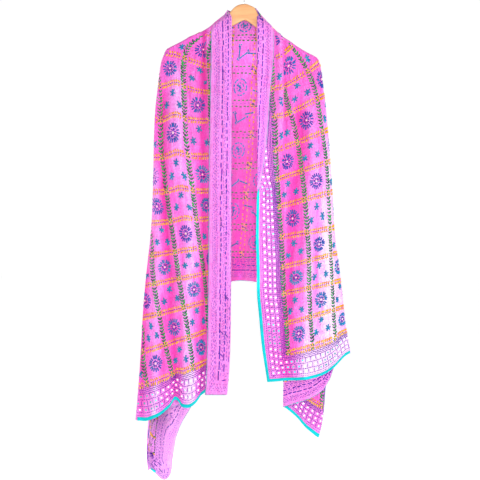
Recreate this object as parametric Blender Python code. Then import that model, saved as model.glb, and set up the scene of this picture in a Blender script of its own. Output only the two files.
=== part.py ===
"""Phulkari shawl hung like an open cape on a wooden hanger: one embroidered length, worn folds and all."""

import math

import bmesh
import bpy
import numpy as np

# Lengths in millimetres. x runs to the viewer's right, y to the back, drop is measured down from the rail.
CLOTH_WALL = 1.6
SEAM_GAP = 0.6
LAPEL_LIFT = 4.2
RIDGE_HALF = 10.0
FRONT_FULL = 46.0
BACK_FULL = 56.0
EDGING_WIDTH = 9.0
EDGING_WALL = 1.2
WOOD_THICK = 12.0
WOOD_ROUND = 4.0
WIRE = 3.3
HOOK_RADIUS = 23.65

# Lines down the cloth, as (drop, x). Above each shoulder tip the outer lines follow the hanger arm.
LEFT_OUTER = (
    (98, -43), (131, -62), (154, -84), (158, -112), (186, -177), (208, -221), (220, -231), (240, -239),
    (312, -249), (382, -256), (488, -260), (630, -263), (740, -268), (806, -275), (878, -283), (984, -292),
    (1090, -298), (1196, -305), (1267, -311), (1304, -315),
)
RIGHT_OUTER = (
    (92, 35), (122, 56), (161, 83), (178, 127), (205, 174), (234, 218), (252, 226), (312, 234), (382, 242),
    (488, 250), (630, 260), (770, 269), (842, 279), (914, 288), (1020, 300), (1090, 312), (1110, 315),
)
LEFT_FOLD = ((92, -44), (105, -37), (122, -33), (600, -34), (1037, -36), (1149, -40), (1228, -47))
RIGHT_FOLD = (
    (86, 36), (96, 39), (110, 41), (560, 42), (632, 41), (771, 38), (836, 40), (922, 41), (992, 47),
    (1038, 51), (1085, 56), (1131, 63), (1183, 71),
)
LEFT_LAPEL_EDGE = ((92.6, -47), (124, -69), (146, -94), (162, -93), (500, -97), (1180, -106), (1228, -111))
RIGHT_LAPEL_EDGE = (
    (86.7, 39), (116, 62), (150, 86), (240, 86), (329, 83), (417, 74), (506, 65), (565, 56), (618, 49),
)
LEFT_INNER = ((220, -231), (300, -232), (500, -186), (800, -152), (1100, -150), (1300, -160))
RIGHT_INNER = ((234, 218), (320, 226), (500, 190), (800, 144), (1100, 122), (1260, 118))
LEFT_BACK = (
    (220, -231), (300, -240), (500, -250), (800, -260), (1100, -268), (1299, -281), (1355, -285),
    (1402, -287), (1480, -280),
)
RIGHT_BACK = (
    (234, 218), (320, 226), (500, 236), (800, 250), (1060, 262), (1130, 258), (1208, 245), (1284, 239),
    (1330, 232), (1358, 224),
)
# Lower edges, as (share of the way across, drop).
LEFT_FRONT_HEM = (
    (0, 1220), (0.24, 1212), (0.29, 1222), (0.333, 1239), (0.386, 1252), (0.44, 1257), (0.5, 1255),
    (0.53, 1242), (0.588, 1235), (0.62, 1251), (0.67, 1265), (0.72, 1277), (0.8, 1288), (0.9, 1297), (1, 1296),
)
RIGHT_FRONT_HEM = (
    (0, 1183), (0.18, 1180), (0.39, 1177), (0.52, 1173), (0.69, 1159), (0.8, 1140), (0.93, 1109), (1, 1100),
)
LEFT_SIDE_HEM = (
    (0, 1296), (0.12, 1283), (0.25, 1268), (0.5, 1250), (0.8, 1264), (0.93, 1310), (0.98, 1400), (1, 1457),
)
RIGHT_SIDE_HEM = (
    (0, 1100), (0.07, 1104), (0.12, 1130), (0.145, 1165), (0.16, 1195), (0.19, 1206), (0.3, 1235), (0.4, 1248),
    (0.5, 1262), (0.68, 1297), (0.78, 1323), (0.94, 1349), (1, 1357),
)
BACK_EDGE = (
    (0, 1457), (0.04, 1478), (0.084, 1487), (0.12, 1475), (0.14, 1455), (0.168, 1358), (0.245, 1262),
    (0.33, 1102), (0.40, 950), (0.442, 896), (0.5, 894), (0.589, 897), (0.68, 918), (0.82, 988), (0.93, 1076),
    (1, 1130),
)
NECK = ((0, 97), (0.2, 101), (0.5, 104), (0.8, 96), (1, 91))
COLLAR_TOP = ((0, 92.6), (0.2, 97), (0.5, 100), (0.8, 92), (1, 86.7))
COLLAR_EDGE = ((0, 146), (0.2, 172), (0.5, 186), (0.8, 176), (1, 150))
# Soft folds, as (x at the top, x at the hem, drop where each starts, half width, forward rise at the hem).
FRONT_FOLDS = (
    (-243, -283, 330, 20, 7), (-196, -206, 480, 12, -9), (-172, -184, 430, 17, 8), (-128, -146, 230, 15, -5),
    (114, 124, 150, 9, -5), (142, 158, 230, 22, 6), (186, 232, 300, 17, -6), (214, 268, 330, 18, 6),
)
BACK_FOLDS = (
    (-196, -262, 260, 24, 26), (-150, -206, 230, 22, -32), (-104, -138, 210, 24, 34), (-58, -78, 180, 22, -32),
    (-8, -14, 160, 26, 34), (44, 52, 180, 22, -32), (92, 116, 200, 24, 34), (138, 178, 230, 22, -30),
    (184, 236, 260, 22, 22),
)

# Drops of the rows of points down the front, and shares of the way down the back.
FRONT_ROWS = (
    0, 11, 23, 35, 45, 51, 58, 70, 84, 99, 114, 130, 156, 194, 236, 284, 340, 400, 466, 540, 620, 700, 780,
    860, 940, 1020, 1090, 1150, 1193,
)
LAPEL_ROWS = (0, 10, 22, 34, 42, 48, 56, 68, 88, 113, 150, 200, 270, 350, 440, 540, 650, 760, 870, 1000, 1118)
BACK_ROWS = (
    0, 0.01, 0.02, 0.03, 0.04, 0.05, 0.062, 0.076, 0.09, 0.105, 0.125, 0.15, 0.18, 0.215, 0.255, 0.3, 0.36,
    0.43, 0.5, 0.58, 0.66, 0.75, 0.84, 0.91, 0.965, 0.99, 1,
)

COLOURS = {
    "pink_cloth": ((0.93, 0.20, 0.70, 1.0), 0.85, 0.0),
    "pink_reverse": ((0.86, 0.36, 0.78, 1.0), 0.9, 0.0),
    "turquoise_edging": ((0.0, 0.62, 0.66, 1.0), 0.6, 0.0),
    "pale_wood": ((0.86, 0.52, 0.25, 1.0), 0.45, 0.0),
    "steel": ((0.62, 0.63, 0.65, 1.0), 0.25, 1.0),
}


def follow(table, at):
    """Smooth value between the rows of a table, without overshoot."""
    xs, ys = np.array(table, float).T
    step = np.diff(ys) / np.diff(xs)
    slope = np.concatenate([[step[0]], (step[:-1] + step[1:]) / 2, [step[-1]]])
    turn = np.concatenate([[False], step[:-1] * step[1:] <= 0, [False]])
    least = np.concatenate([[abs(step[0])], np.minimum(abs(step[:-1]), abs(step[1:])), [abs(step[-1])]])
    slope = np.where(turn, 0, np.clip(slope, -2.5 * least, 2.5 * least))
    at = np.clip(np.asarray(at, float), xs[0], xs[-1])
    i = np.clip(np.searchsorted(xs, at) - 1, 0, len(xs) - 2)
    wide = xs[i + 1] - xs[i]
    t = (at - xs[i]) / wide
    return (
        ys[i] * (1 + 2 * t) * (1 - t) ** 2
        + ys[i + 1] * t * t * (3 - 2 * t)
        + wide * (slope[i] * t * (1 - t) ** 2 - slope[i + 1] * t * t * (1 - t))
    )


def rise(q):
    q = np.clip(q, 0, 1)
    return q * q * (3 - 2 * q)


def quarter(q):
    """Quarter circle from 0 to 1, level at its far end."""
    return np.sqrt(np.clip(1 - (1 - np.clip(q, 0, 1)) ** 2, 0, 1))


def soft_folds(table, x, drop):
    total = 0
    for top, low, start, half, height in table:
        line = top + (low - top) * (drop - start) / (1200 - start)
        total = total + height * rise((drop - start) / (1000 - start)) * np.exp(-(((x - line) / half) ** 2))
    return total


def arm_drop(x):
    """Drop of the hanger arm's top under x."""
    left = follow([(-line, drop) for drop, line in LEFT_OUTER[:6]], -x)
    right = follow([(line, drop) for drop, line in RIGHT_OUTER[:6]], x)
    return np.where(x < 0, left, right)


def front_level(x, drop):
    open_out = rise((drop - arm_drop(x) + 30) / 420)
    return -(RIDGE_HALF + (FRONT_FULL - RIDGE_HALF) * open_out) - soft_folds(FRONT_FOLDS, x, drop)


def back_level(x, drop):
    open_out = rise((drop - arm_drop(x) + 30) / 420)
    hollow = 5 * np.exp(-((x / 90) ** 2)) * rise((drop - 90) / 60)
    return RIDGE_HALF + (BACK_FULL - RIDGE_HALF) * open_out + hollow + soft_folds(BACK_FOLDS, x, drop)


def side_open(drop, tip):
    return rise((drop - tip + 10) / 250)


def section(x, near, far, level, near_y, far_y, near_round, far_round):
    """A layer's y across its width: level between its two edges, rounded into the turn at each."""
    a = 1 - quarter(abs(x - near) / near_round)
    b = 1 - quarter(abs(far - x) / far_round)
    return level + (near_y - level) * a + (far_y - level) * b


def outer_round(drop, tip):
    return 15 - 2 * rise((drop - tip) / 60)


def front_panel(s, t, side):
    fold, outer, hem, tip = (
        (LEFT_FOLD, LEFT_OUTER, LEFT_FRONT_HEM, 220)
        if side == "left"
        else (RIGHT_FOLD, RIGHT_OUTER, RIGHT_FRONT_HEM, 234)
    )
    top = outer[0][0] + 9
    drop = top + (follow(hem, s) - top) * t
    inner_x, outer_x = follow(fold, drop), follow(outer, drop)
    x = inner_x + (outer_x - inner_x) * s
    level = front_level(x, drop)
    inner_y = front_level(inner_x, drop)
    outer_y = -31 * side_open(drop, tip) - SEAM_GAP
    return x, section(x, inner_x, outer_x, level, inner_y, outer_y, 3.0, outer_round(drop, tip)), drop


def lapel(s, t, side):
    fold, edge, low = (LEFT_FOLD, LEFT_LAPEL_EDGE, 1220) if side == "left" else (RIGHT_FOLD, RIGHT_LAPEL_EDGE, 612)
    top = edge[0][0] + 9
    drop = top + (low - top) * t
    inner_x, outer_x = follow(fold, drop), follow(edge, drop)
    x = inner_x + (outer_x - inner_x) * s
    below = front_level(x, drop)
    level = below - LAPEL_LIFT
    on_arm = 1 - rise((drop - edge[2][0] + 6) / 14)
    outer_y = level * (1 - on_arm) - SEAM_GAP * on_arm
    inner_y = front_level(inner_x, drop) - CLOTH_WALL / 2 - 2 * SEAM_GAP
    return x, section(x, inner_x, outer_x, level, inner_y, outer_y, 3.0, 16.0), drop


def collar(s, t):
    drop = follow(COLLAR_TOP, s) * (1 - t) + follow(COLLAR_EDGE, s) * t
    left_x = follow(LEFT_LAPEL_EDGE[:3] + ((186, -172),), drop)
    right_x = follow(RIGHT_LAPEL_EDGE[:3] + ((186, 150),), drop)
    x = left_x + (right_x - left_x) * s
    level = back_level(x, drop) + LAPEL_LIFT
    y = section(x, left_x, right_x, level, SEAM_GAP, SEAM_GAP, 16.0, 16.0)
    turned = 1 - quarter((drop - follow(COLLAR_TOP, s)) / 3.0)
    return x, y - (LAPEL_LIFT - CLOTH_WALL / 2 - 2 * SEAM_GAP) * turned * np.clip(y / level, 0, 1), drop


def back_panel(s, t):
    drop = follow(NECK, s) * (1 - t) + follow(BACK_EDGE, s) * t
    left_x = np.where(drop < 220, follow(LEFT_OUTER[:7], drop), follow(LEFT_BACK, drop))
    right_x = np.where(drop < 234, follow(RIGHT_OUTER[:6], drop), follow(RIGHT_BACK, drop))
    x = left_x + (right_x - left_x) * s
    level = back_level(x, drop)
    left_y = 27 * side_open(drop, 220) + SEAM_GAP
    right_y = 27 * side_open(drop, 234) + SEAM_GAP
    return (
        x,
        section(x, left_x, right_x, level, left_y, right_y, outer_round(drop, 220), outer_round(drop, 234)),
        drop,
    )


def side_fold(s, t, side):
    """From the outer turn in to the inner turn, then out again to the turn into the back."""
    outer, inner, back, hem, tip = (
        (LEFT_OUTER, LEFT_INNER, LEFT_BACK, LEFT_SIDE_HEM, 220)
        if side == "left"
        else (RIGHT_OUTER, RIGHT_INNER, RIGHT_BACK, RIGHT_SIDE_HEM, 234)
    )
    top = tip + 26
    drop = top + (follow(hem, s) - top) * t
    x1, x2, x3 = follow(outer, drop), follow(inner, drop), follow(back, drop)
    opened = side_open(drop, tip)
    y1, y2, y3 = -31 * opened + 1.5 * SEAM_GAP, -3 * opened, 27 * opened - 1.5 * SEAM_GAP
    first, second = np.clip(2 * s, 0, 1), np.clip(2 * s - 1, 0, 1)
    x = np.where(s < 0.5, x1 + (x2 - x1) * first, x2 + (x3 - x2) * second)
    wave = 3 * opened * np.sin(first * 9 + drop / 210)
    y_first = section(x, x1, x2, -17 * opened + wave, y1, y2, 13.0, 13.0)
    y_second = section(x, x2, x3, 12 * opened + wave * 0.6, y2, y3, 13.0, 13.0)
    y = np.where(s < 0.5, y_first, y_second)
    grown = rise((abs(x2 - x1) - 14) / 30)
    plain_x, plain_y = x1 + (x3 - x1) * s, y1 + (y3 - y1) * s
    bulge = 3 * np.sin(math.pi * s) * (-1 if side == "left" else 1) * (1 - grown)
    return plain_x + (x - plain_x) * grown + bulge, plain_y + (y - plain_y) * grown, drop


def patch(shape, across, down, outward=0.0):
    """Middle points of a cloth layer, moved out along its normal towards its right side."""
    s, t = np.meshgrid(np.array(across, float), np.array(down, float), indexing="ij")
    x, y, drop = np.broadcast_arrays(*shape(s, t))
    points = np.stack([x, y, -drop], axis=-1)
    normal = np.cross(np.gradient(points, axis=0), np.gradient(points, axis=1))
    normal /= np.maximum(np.linalg.norm(normal, axis=-1, keepdims=True), 1e-9)
    return points + outward * normal, normal


def add_material(obj, slot):
    material = bpy.data.materials.get(slot) or bpy.data.materials.new(slot)
    colour, roughness, metallic = COLOURS[slot]
    material.use_nodes = True
    shader = material.node_tree.nodes["Principled BSDF"]
    shader.inputs["Base Color"].default_value = colour
    shader.inputs["Roughness"].default_value = roughness
    shader.inputs["Metallic"].default_value = metallic
    material.diffuse_color = colour
    obj.data.materials.append(material)


def add_object(name, mesh, slot):
    obj = bpy.data.objects.new(name, mesh)
    bpy.context.scene.collection.objects.link(obj)
    add_material(obj, slot)
    return obj


def add_sheet(name, slot, points, normal, wall):
    """A closed wall on both sides of a grid of middle points."""
    rows, columns = points.shape[:2]
    both = np.concatenate([points + normal * wall / 2, points - normal * wall / 2]).reshape(-1, 3) / 1000
    half = rows * columns
    at = np.arange(half).reshape(rows, columns)
    faces = []
    for i in range(rows - 1):
        for j in range(columns - 1):
            a, b, c, d = (int(v) for v in (at[i, j], at[i + 1, j], at[i + 1, j + 1], at[i, j + 1]))
            faces += [(a, b, c, d), (half + d, half + c, half + b, half + a)]
    rim = [*at[:, 0], *at[-1, 1:], *at[-2::-1, -1], *at[0, -2:0:-1]]
    for a, b in zip(rim, rim[1:] + rim[:1]):
        faces.append((int(b), int(a), half + int(a), half + int(b)))
    mesh = bpy.data.meshes.new(name)
    mesh.from_pydata(both.tolist(), [], faces)
    tidy = bmesh.new()
    tidy.from_mesh(mesh)
    bmesh.ops.recalc_face_normals(tidy, faces=tidy.faces)
    tidy.to_mesh(mesh)
    tidy.free()
    return add_object(name, mesh, slot)


def spaced(count, near=0.0, far=0.0):
    """Shares from 0 to 1, with rows added close to an end that turns over."""
    inside = np.linspace(near, 1 - far, count)
    ends = [np.array([0, 0.12, 0.4, 0.7]) * near] if near else []
    ends.append(inside)
    if far:
        ends.append(1 - np.array([0.7, 0.4, 0.12, 0]) * far)
    return np.unique(np.concatenate(ends).round(6))


def front_across(side):
    """Shares across a front: on the left, the same as its hem's, so that the step in the hem is kept."""
    if side == "right":
        return spaced(14, 0.0, 0.075)
    inside = [share for share, _ in LEFT_FRONT_HEM[:-2]] + [0.12, 0.86]
    return np.unique(np.concatenate([inside, spaced(14, 0.0, 0.075)[-5:]]))


def add_cloth():
    for side in ("left", "right"):
        downwards = np.array(FRONT_ROWS) / FRONT_ROWS[-1]
        points, normal = patch(lambda s, t: front_panel(s, t, side), front_across(side), downwards)
        add_sheet(f"{side}_front", "pink_cloth", points, normal, CLOTH_WALL)
        folded = np.concatenate([spaced(5, 0.1, 0.1) / 2, 0.5 + spaced(5, 0.1, 0.1)[1:] / 2])
        points, normal = patch(lambda s, t: side_fold(s, t, side), folded, np.linspace(0, 1, 22) ** 1.4)
        add_sheet(f"{side}_side_fold", "pink_cloth", points, normal, CLOTH_WALL)
        length = 1118 if side == "left" else 516
        downwards = np.array([row for row in LAPEL_ROWS if row < 0.9 * length] + [length]) / length
        points, normal = patch(lambda s, t: lapel(s, t, side), spaced(4, 0.06, 0.2), downwards)
        add_sheet(f"{side}_lapel", "pink_reverse", points, normal, CLOTH_WALL)
    points, normal = patch(back_panel, spaced(38, 0.045, 0.045), BACK_ROWS)
    add_sheet("back_panel", "pink_cloth", points, normal, CLOTH_WALL)
    points, normal = patch(collar, spaced(15, 0.12, 0.12), [0, 0.03, 0.25, 0.6, 1])
    add_sheet("back_collar", "pink_reverse", points, normal, CLOTH_WALL)


def add_edging(name, shape, across, down, outward, clear=0.6):
    """A narrow binding along a border, lying on the right side of its layer."""
    lift = CLOTH_WALL / 2 + clear + EDGING_WALL / 2
    points, normal = patch(shape, across, down, outward * lift)
    add_sheet(name, "turquoise_edging", points, normal, EDGING_WALL)


def add_edgings():
    def hem_band(length):
        return [1 - EDGING_WIDTH / length, 1]

    left, right = front_across("left"), front_across("right")
    add_edging("left_hem_edging", lambda s, t: front_panel(s, t, "left"), left[left > 0.25], hem_band(1170), 1, 0.9)
    add_edging("right_hem_edging", lambda s, t: front_panel(s, t, "right"), right[1:], hem_band(1070), -1)
    rows = np.array(FRONT_ROWS) / FRONT_ROWS[-1]
    add_edging("right_front_edging", lambda s, t: front_panel(s, t, "right"), [0, 0.038], rows[rows > 0.5], -1)
    folded = np.concatenate([spaced(5, 0.1, 0.1) / 2, 0.5 + spaced(5, 0.1, 0.1)[1:] / 2])
    for side, outward in (("left", 1), ("right", -1)):
        add_edging(f"{side}_side_hem_edging", lambda s, t: side_fold(s, t, side), folded, hem_band(1000), outward)
    add_edging("back_edge_edging", back_panel, spaced(38, 0.045, 0.045), hem_band(900), 1, 1.1)


def add_wood():
    """The flat hanger, cut to its outline, with its long edges rounded."""
    left = ((0, 75.5), (-20, 79), (-36, 91), (-56, 135), (-82, 164), (-112, 169), (-177, 195), (-206, 209))
    right = ((20, 79), (32, 90), (48, 126), (76, 169), (127, 190), (174, 214.5), (196, 229))
    left_low = ((-215, 219), (-214, 232), (-204, 239), (-160, 221), (-94, 189), (-36, 157), (0, 134))
    right_low = ((40, 165), (87, 193), (150, 226), (188, 249), (200, 254), (206, 246), (204, 237))
    outline = list(left[::-1]) + list(right) + list(right_low[::-1]) + list(left_low[::-1])
    bm = bmesh.new()
    corners = [bm.verts.new((x / 1000, -WOOD_THICK / 2000, -drop / 1000)) for x, drop in outline]
    face = bm.faces.new(corners)
    made = bmesh.ops.extrude_face_region(bm, geom=[face])
    bmesh.ops.translate(
        bm, vec=(0, WOOD_THICK / 1000, 0), verts=[v for v in made["geom"] if isinstance(v, bmesh.types.BMVert)]
    )
    bmesh.ops.recalc_face_normals(bm, faces=bm.faces)
    long_edges = [e for e in bm.edges if abs(e.verts[0].co.y - e.verts[1].co.y) < 1e-6]
    bmesh.ops.bevel(bm, geom=long_edges, offset=WOOD_ROUND / 1000, segments=2, profile=0.5, affect="EDGES")
    mesh = bpy.data.meshes.new("hanger_wood")
    bm.to_mesh(mesh)
    bm.free()
    add_object("hanger_wood", mesh, "pale_wood")


def add_hook():
    """Steel wire: up from the hanger, out to one side and over the rail."""
    path = [(0.0, -75.2), (0.0, -66.0), (3.0, -56.0), (12.0, -45.5)]
    for step in range(15):
        angle = math.radians(-30 + 232 * step / 14)
        path.append((HOOK_RADIUS * math.cos(angle), -22 + HOOK_RADIUS * math.sin(angle)))
    curve = bpy.data.curves.new("hanger_hook", "CURVE")
    curve.dimensions = "3D"
    curve.bevel_depth = WIRE / 2000
    curve.bevel_resolution = 2
    curve.use_fill_caps = True
    line = curve.splines.new("POLY")
    line.points.add(len(path) - 1)
    for point, (x, z) in zip(line.points, path):
        point.co = (x / 1000, 0, z / 1000, 1)
    add_object("hanger_hook", curve, "steel")


def main():
    for obj in list(bpy.data.objects):
        bpy.data.objects.remove(obj, do_unlink=True)
    add_wood()
    add_hook()
    add_cloth()
    add_edgings()


main()
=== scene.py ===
import math

import bmesh
import bpy
import numpy as np
from mathutils import Matrix, Vector, kdtree


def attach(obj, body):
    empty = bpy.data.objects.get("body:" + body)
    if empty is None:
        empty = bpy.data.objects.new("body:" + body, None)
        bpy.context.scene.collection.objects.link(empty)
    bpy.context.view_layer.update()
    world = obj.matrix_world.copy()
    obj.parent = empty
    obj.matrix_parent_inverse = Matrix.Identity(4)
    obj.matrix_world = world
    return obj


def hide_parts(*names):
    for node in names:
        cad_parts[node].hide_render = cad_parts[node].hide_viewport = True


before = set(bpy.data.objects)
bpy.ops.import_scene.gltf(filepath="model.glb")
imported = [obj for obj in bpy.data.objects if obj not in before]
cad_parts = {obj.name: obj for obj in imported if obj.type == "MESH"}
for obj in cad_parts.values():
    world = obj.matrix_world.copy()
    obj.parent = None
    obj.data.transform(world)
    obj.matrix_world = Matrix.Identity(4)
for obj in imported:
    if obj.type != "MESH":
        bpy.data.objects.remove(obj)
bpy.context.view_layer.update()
print("frame loaded")

# Millimetres unless a name says otherwise. x runs to the viewer's right, y to the back,
# drop is measured down from the rail, u along the cloth from its left end, v across it from the neck edge.
cloth = {
    "length": 2420, "width": 910, "border": 85, "cellLong": 90, "cellWide": 92.5, "cellsLong": 25, "cellsWide": 8,
    "wall": 1.0, "lapelLift": 6.5, "ridgeHalf": 10.0, "frontFull": 46.0, "backFull": 56.0,
    # how far towards the back the turn into a side fold, its inner turn and the turn into the back end up
    "turnY": (-31, -3, 27),
}

# Lines down each half of the cloth, as (drop, x), and its lower edges, as (share of the way across, drop).
halves = {
    "left": {
        "neckDrop": 92.6, "tip": 220, "overArm": 146, "lapelEnd": 1220,
        "outer": (
            (92.6, -45), (98, -46), (110, -59), (119, -70.5), (128, -82), (137, -91.5), (146, -103), (155, -118),
            (163.5, -136), (172, -158), (181, -172), (190, -189), (199, -206.5), (208, -224), (220, -231),
            (240, -239), (312, -249), (382, -256), (488, -260), (630, -263), (740, -268), (806, -275), (878, -283),
            (984, -292), (1090, -298), (1196, -305), (1267, -311), (1304, -315),
        ),
        "fold": ((92.6, -45), (105, -38), (122, -33), (600, -34), (1037, -36), (1149, -40), (1228, -47)),
        "lapelEdge": ((92.6, -45), (124, -69), (146, -94), (162, -93), (500, -97), (1180, -106), (1228, -111)),
        "inner": ((220, -231), (300, -232), (500, -186), (800, -152), (1100, -150), (1300, -160)),
        "back": (
            (220, -231), (300, -240), (500, -250), (800, -260), (1100, -268), (1299, -281), (1355, -285),
            (1402, -287), (1480, -280),
        ),
        "hem": (
            (0, 1220), (0.24, 1212), (0.29, 1222), (0.333, 1239), (0.386, 1252), (0.44, 1257), (0.5, 1255),
            (0.53, 1242), (0.588, 1235), (0.62, 1251), (0.67, 1265), (0.72, 1277), (0.8, 1288), (0.9, 1297),
            (1, 1296),
        ),
        "sideHem": (
            (0, 1296), (0.12, 1283), (0.25, 1268), (0.5, 1250), (0.8, 1264), (0.93, 1286), (0.975, 1302),
            (0.99, 1340), (1, 1457),
        ),
    },
    "right": {
        "neckDrop": 86.7, "tip": 234, "overArm": 150, "lapelEnd": 632,
        "outer": (
            (86.7, 38), (92, 41), (104, 49.5), (119, 64), (133, 76.5), (147, 90), (161, 105), (173, 119),
            (185, 138.5), (197, 154), (217, 186), (234, 218), (252, 226), (312, 234),
            (382, 242), (488, 250), (630, 260), (770, 269), (842, 279), (914, 288), (1020, 300), (1090, 312),
            (1110, 315),
        ),
        "fold": (
            (86.7, 38), (96, 39.5), (110, 41), (560, 42), (632, 41), (771, 38), (836, 40), (922, 41), (992, 47),
            (1038, 51), (1085, 56), (1131, 63), (1183, 71),
        ),
        "lapelEdge": (
            (86.7, 38), (104, 48.5), (119, 62.5), (150, 89.5), (176, 90), (231, 88.5), (274, 85.8), (332, 79.1),
            (410, 73.6), (479, 68), (565, 57), (618, 47), (632, 41),
        ),
        "inner": ((234, 218), (320, 226), (500, 190), (800, 144), (1100, 122), (1260, 118)),
        "back": (
            (234, 218), (320, 226), (500, 236), (800, 250), (1060, 262), (1130, 258), (1208, 245), (1284, 239),
            (1330, 232), (1358, 224),
        ),
        "hem": (
            (0, 1183), (0.18, 1180), (0.39, 1177), (0.52, 1173), (0.69, 1159), (0.8, 1140), (0.93, 1109),
            (1, 1100),
        ),
        "sideHem": (
            (0, 1100), (0.07, 1104), (0.12, 1130), (0.145, 1165), (0.16, 1195), (0.19, 1206), (0.3, 1235),
            (0.4, 1248), (0.5, 1262), (0.68, 1297), (0.78, 1323), (0.94, 1349), (1, 1357),
        ),
    },
}
# Lower edge, neck and turned collar of the back, as (share of the way across, drop).
backEdge = (
    (0, 1457), (0.04, 1478), (0.084, 1487), (0.12, 1475), (0.14, 1455), (0.168, 1358), (0.245, 1262), (0.33, 1102),
    (0.40, 950), (0.442, 896), (0.5, 894), (0.589, 897), (0.68, 918), (0.82, 988), (0.93, 1076), (1, 1130),
)
neckLine = ((0, 92.6), (0.2, 97), (0.5, 100), (0.8, 92), (1, 86.7))
collarEdge = ((0, 146), (0.2, 172), (0.5, 186), (0.8, 176), (1, 150))

# Folds of the fronts, each as its line (drop, x), half width and height towards the viewer.
frontFolds = (
    (((225, -196), (306, -192), (422, -187), (539, -177), (655, -163), (771, -155), (1004, -158),
      (1120, -153), (1400, -148)), 22, 8.5),
    (((560, -190), (655, -183), (771, -176), (900, -178)), 7, -2.5),
    (((180, -112), (422, -117), (655, -116), (830, -113), (1004, -119), (1180, -122), (1400, -126)), 15, -7.0),
    (((300, -230), (480, -235), (655, -230), (771, -222), (830, -218), (887, -211), (1004, -212),
      (1060, -203), (1180, -198), (1400, -190)), 12, -8.0),
    (((500, -252), (655, -250), (830, -247), (1004, -254), (1120, -253), (1400, -262)), 13, 6.5),
    (((780, -279), (887, -283), (1004, -289), (1180, -294), (1400, -300)), 9, -5.0),
    (((215, -150), (300, -145), (420, -140), (560, -135)), 9, 2.4),
    (((960, -176), (1060, -180), (1400, -186)), 7, -2.5),
    (((300, 106), (420, 104), (560, 92), (655, 87), (900, 88), (1100, 96)), 9, 2.6),
    (((330, 160), (486, 166), (539, 166), (597, 151), (655, 145), (771, 139.5), (887, 137), (1004, 128),
      (1120, 125), (1400, 128)), 18, -7.5),
    (((300, 190), (420, 196), (560, 204), (700, 190), (860, 186), (1000, 180), (1120, 178), (1400, 190)), 15, 5.5),
    (((420, 214), (560, 226), (700, 216), (860, 210), (1000, 212), (1120, 216)), 7, -2.6),
    (((700, 238), (860, 246), (1000, 256), (1400, 290)), 9, 3.5),
    (((860, 160), (1000, 156), (1120, 158), (1400, 160)), 6, 2.0),
)
# Small creases of one width, each as three drops with their x, then its height.
smallCreases = [(((d0, x0), (d1, x1), (d2, x2)), 5, high) for d0, x0, d1, x1, d2, x2, high in (
    (330, -214, 520, -205, 700, -186, 1.8), (420, -178, 620, -168, 800, -160, -1.6),
    (500, -150, 700, -140, 900, -138, 1.6), (560, -240, 700, -236, 860, -232, -1.8),
    (640, -206, 800, -190, 960, -182, 2), (760, -262, 900, -268, 1100, -274, 1.8),
    (820, -146, 980, -142, 1160, -138, -1.8), (900, -236, 1060, -232, 1240, -230, -1.8),
    (940, -168, 1100, -170, 1260, -172, 1.6), (250, -170, 380, -168, 500, -160, -1.5),
    (280, -128, 420, -130, 560, -128, 1.4), (600, -126, 760, -128, 900, -130, 1.5),
    (280, 150, 420, 146, 560, 148, 1.5), (330, 180, 480, 186, 640, 190, -1.6),
    (520, 122, 700, 124, 860, 122, 1.6), (620, 172, 760, 170, 900, 168, -1.8),
    (700, 206, 860, 212, 1000, 220, -1.8), (760, 154, 900, 150, 1060, 146, 1.8),
    (860, 196, 1000, 198, 1130, 204, -1.6), (900, 232, 1020, 242, 1120, 252, 1.8),
    (420, 230, 560, 238, 700, 244, -1.5), (960, 130, 1060, 130, 1160, 132, 1.6),
)]
frontPleats = {
    # line (drop, |x|), where it starts and fades, height of the upper layer
    "left": {
        "line": ((150, 107.8), (261, 107.8), (294, 104.5), (400, 101)), "starts": 128, "fades": 400, "high": 5.6,
    },
    "right": {
        "line": ((150, 116), (325, 117.2), (420, 117), (560, 119)), "starts": 132, "fades": 540, "high": 4.2,
    },
}
# Soft folds of the back, as x at the top, x at the hem, drop where each starts, half width, rise at the hem.
backFolds = (
    (-196, -262, 260, 24, 26), (-150, -206, 230, 22, -32), (-104, -138, 210, 24, 34), (-58, -78, 180, 22, -32),
    (-8, -14, 160, 26, 34), (44, 52, 180, 22, -32), (92, 116, 200, 24, 34), (138, 178, 230, 22, -30),
    (184, 236, 260, 22, 22),
)
# The inner side of each pleat, as (drop, distance from the middle).
besidePleat = {
    "left": (
        (92.6, 84), (131, 88), (154, 96), (172, 106.8), (261, 106.8), (294, 103.5), (340, 101.5), (400, 103),
        (474.6, 103), (600, 94), (720, 87), (900, 81), (1230, 69),
    ),
    "right": (
        (86.7, 54), (119, 76), (150, 108), (187, 116), (325, 116.2), (420, 116), (520, 116.5), (620, 118),
        (700, 120), (800, 127), (928, 132), (1166, 149),
    ),
}


def moved(table, gap):
    return tuple((drop, away + gap) for drop, away in table)


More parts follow.
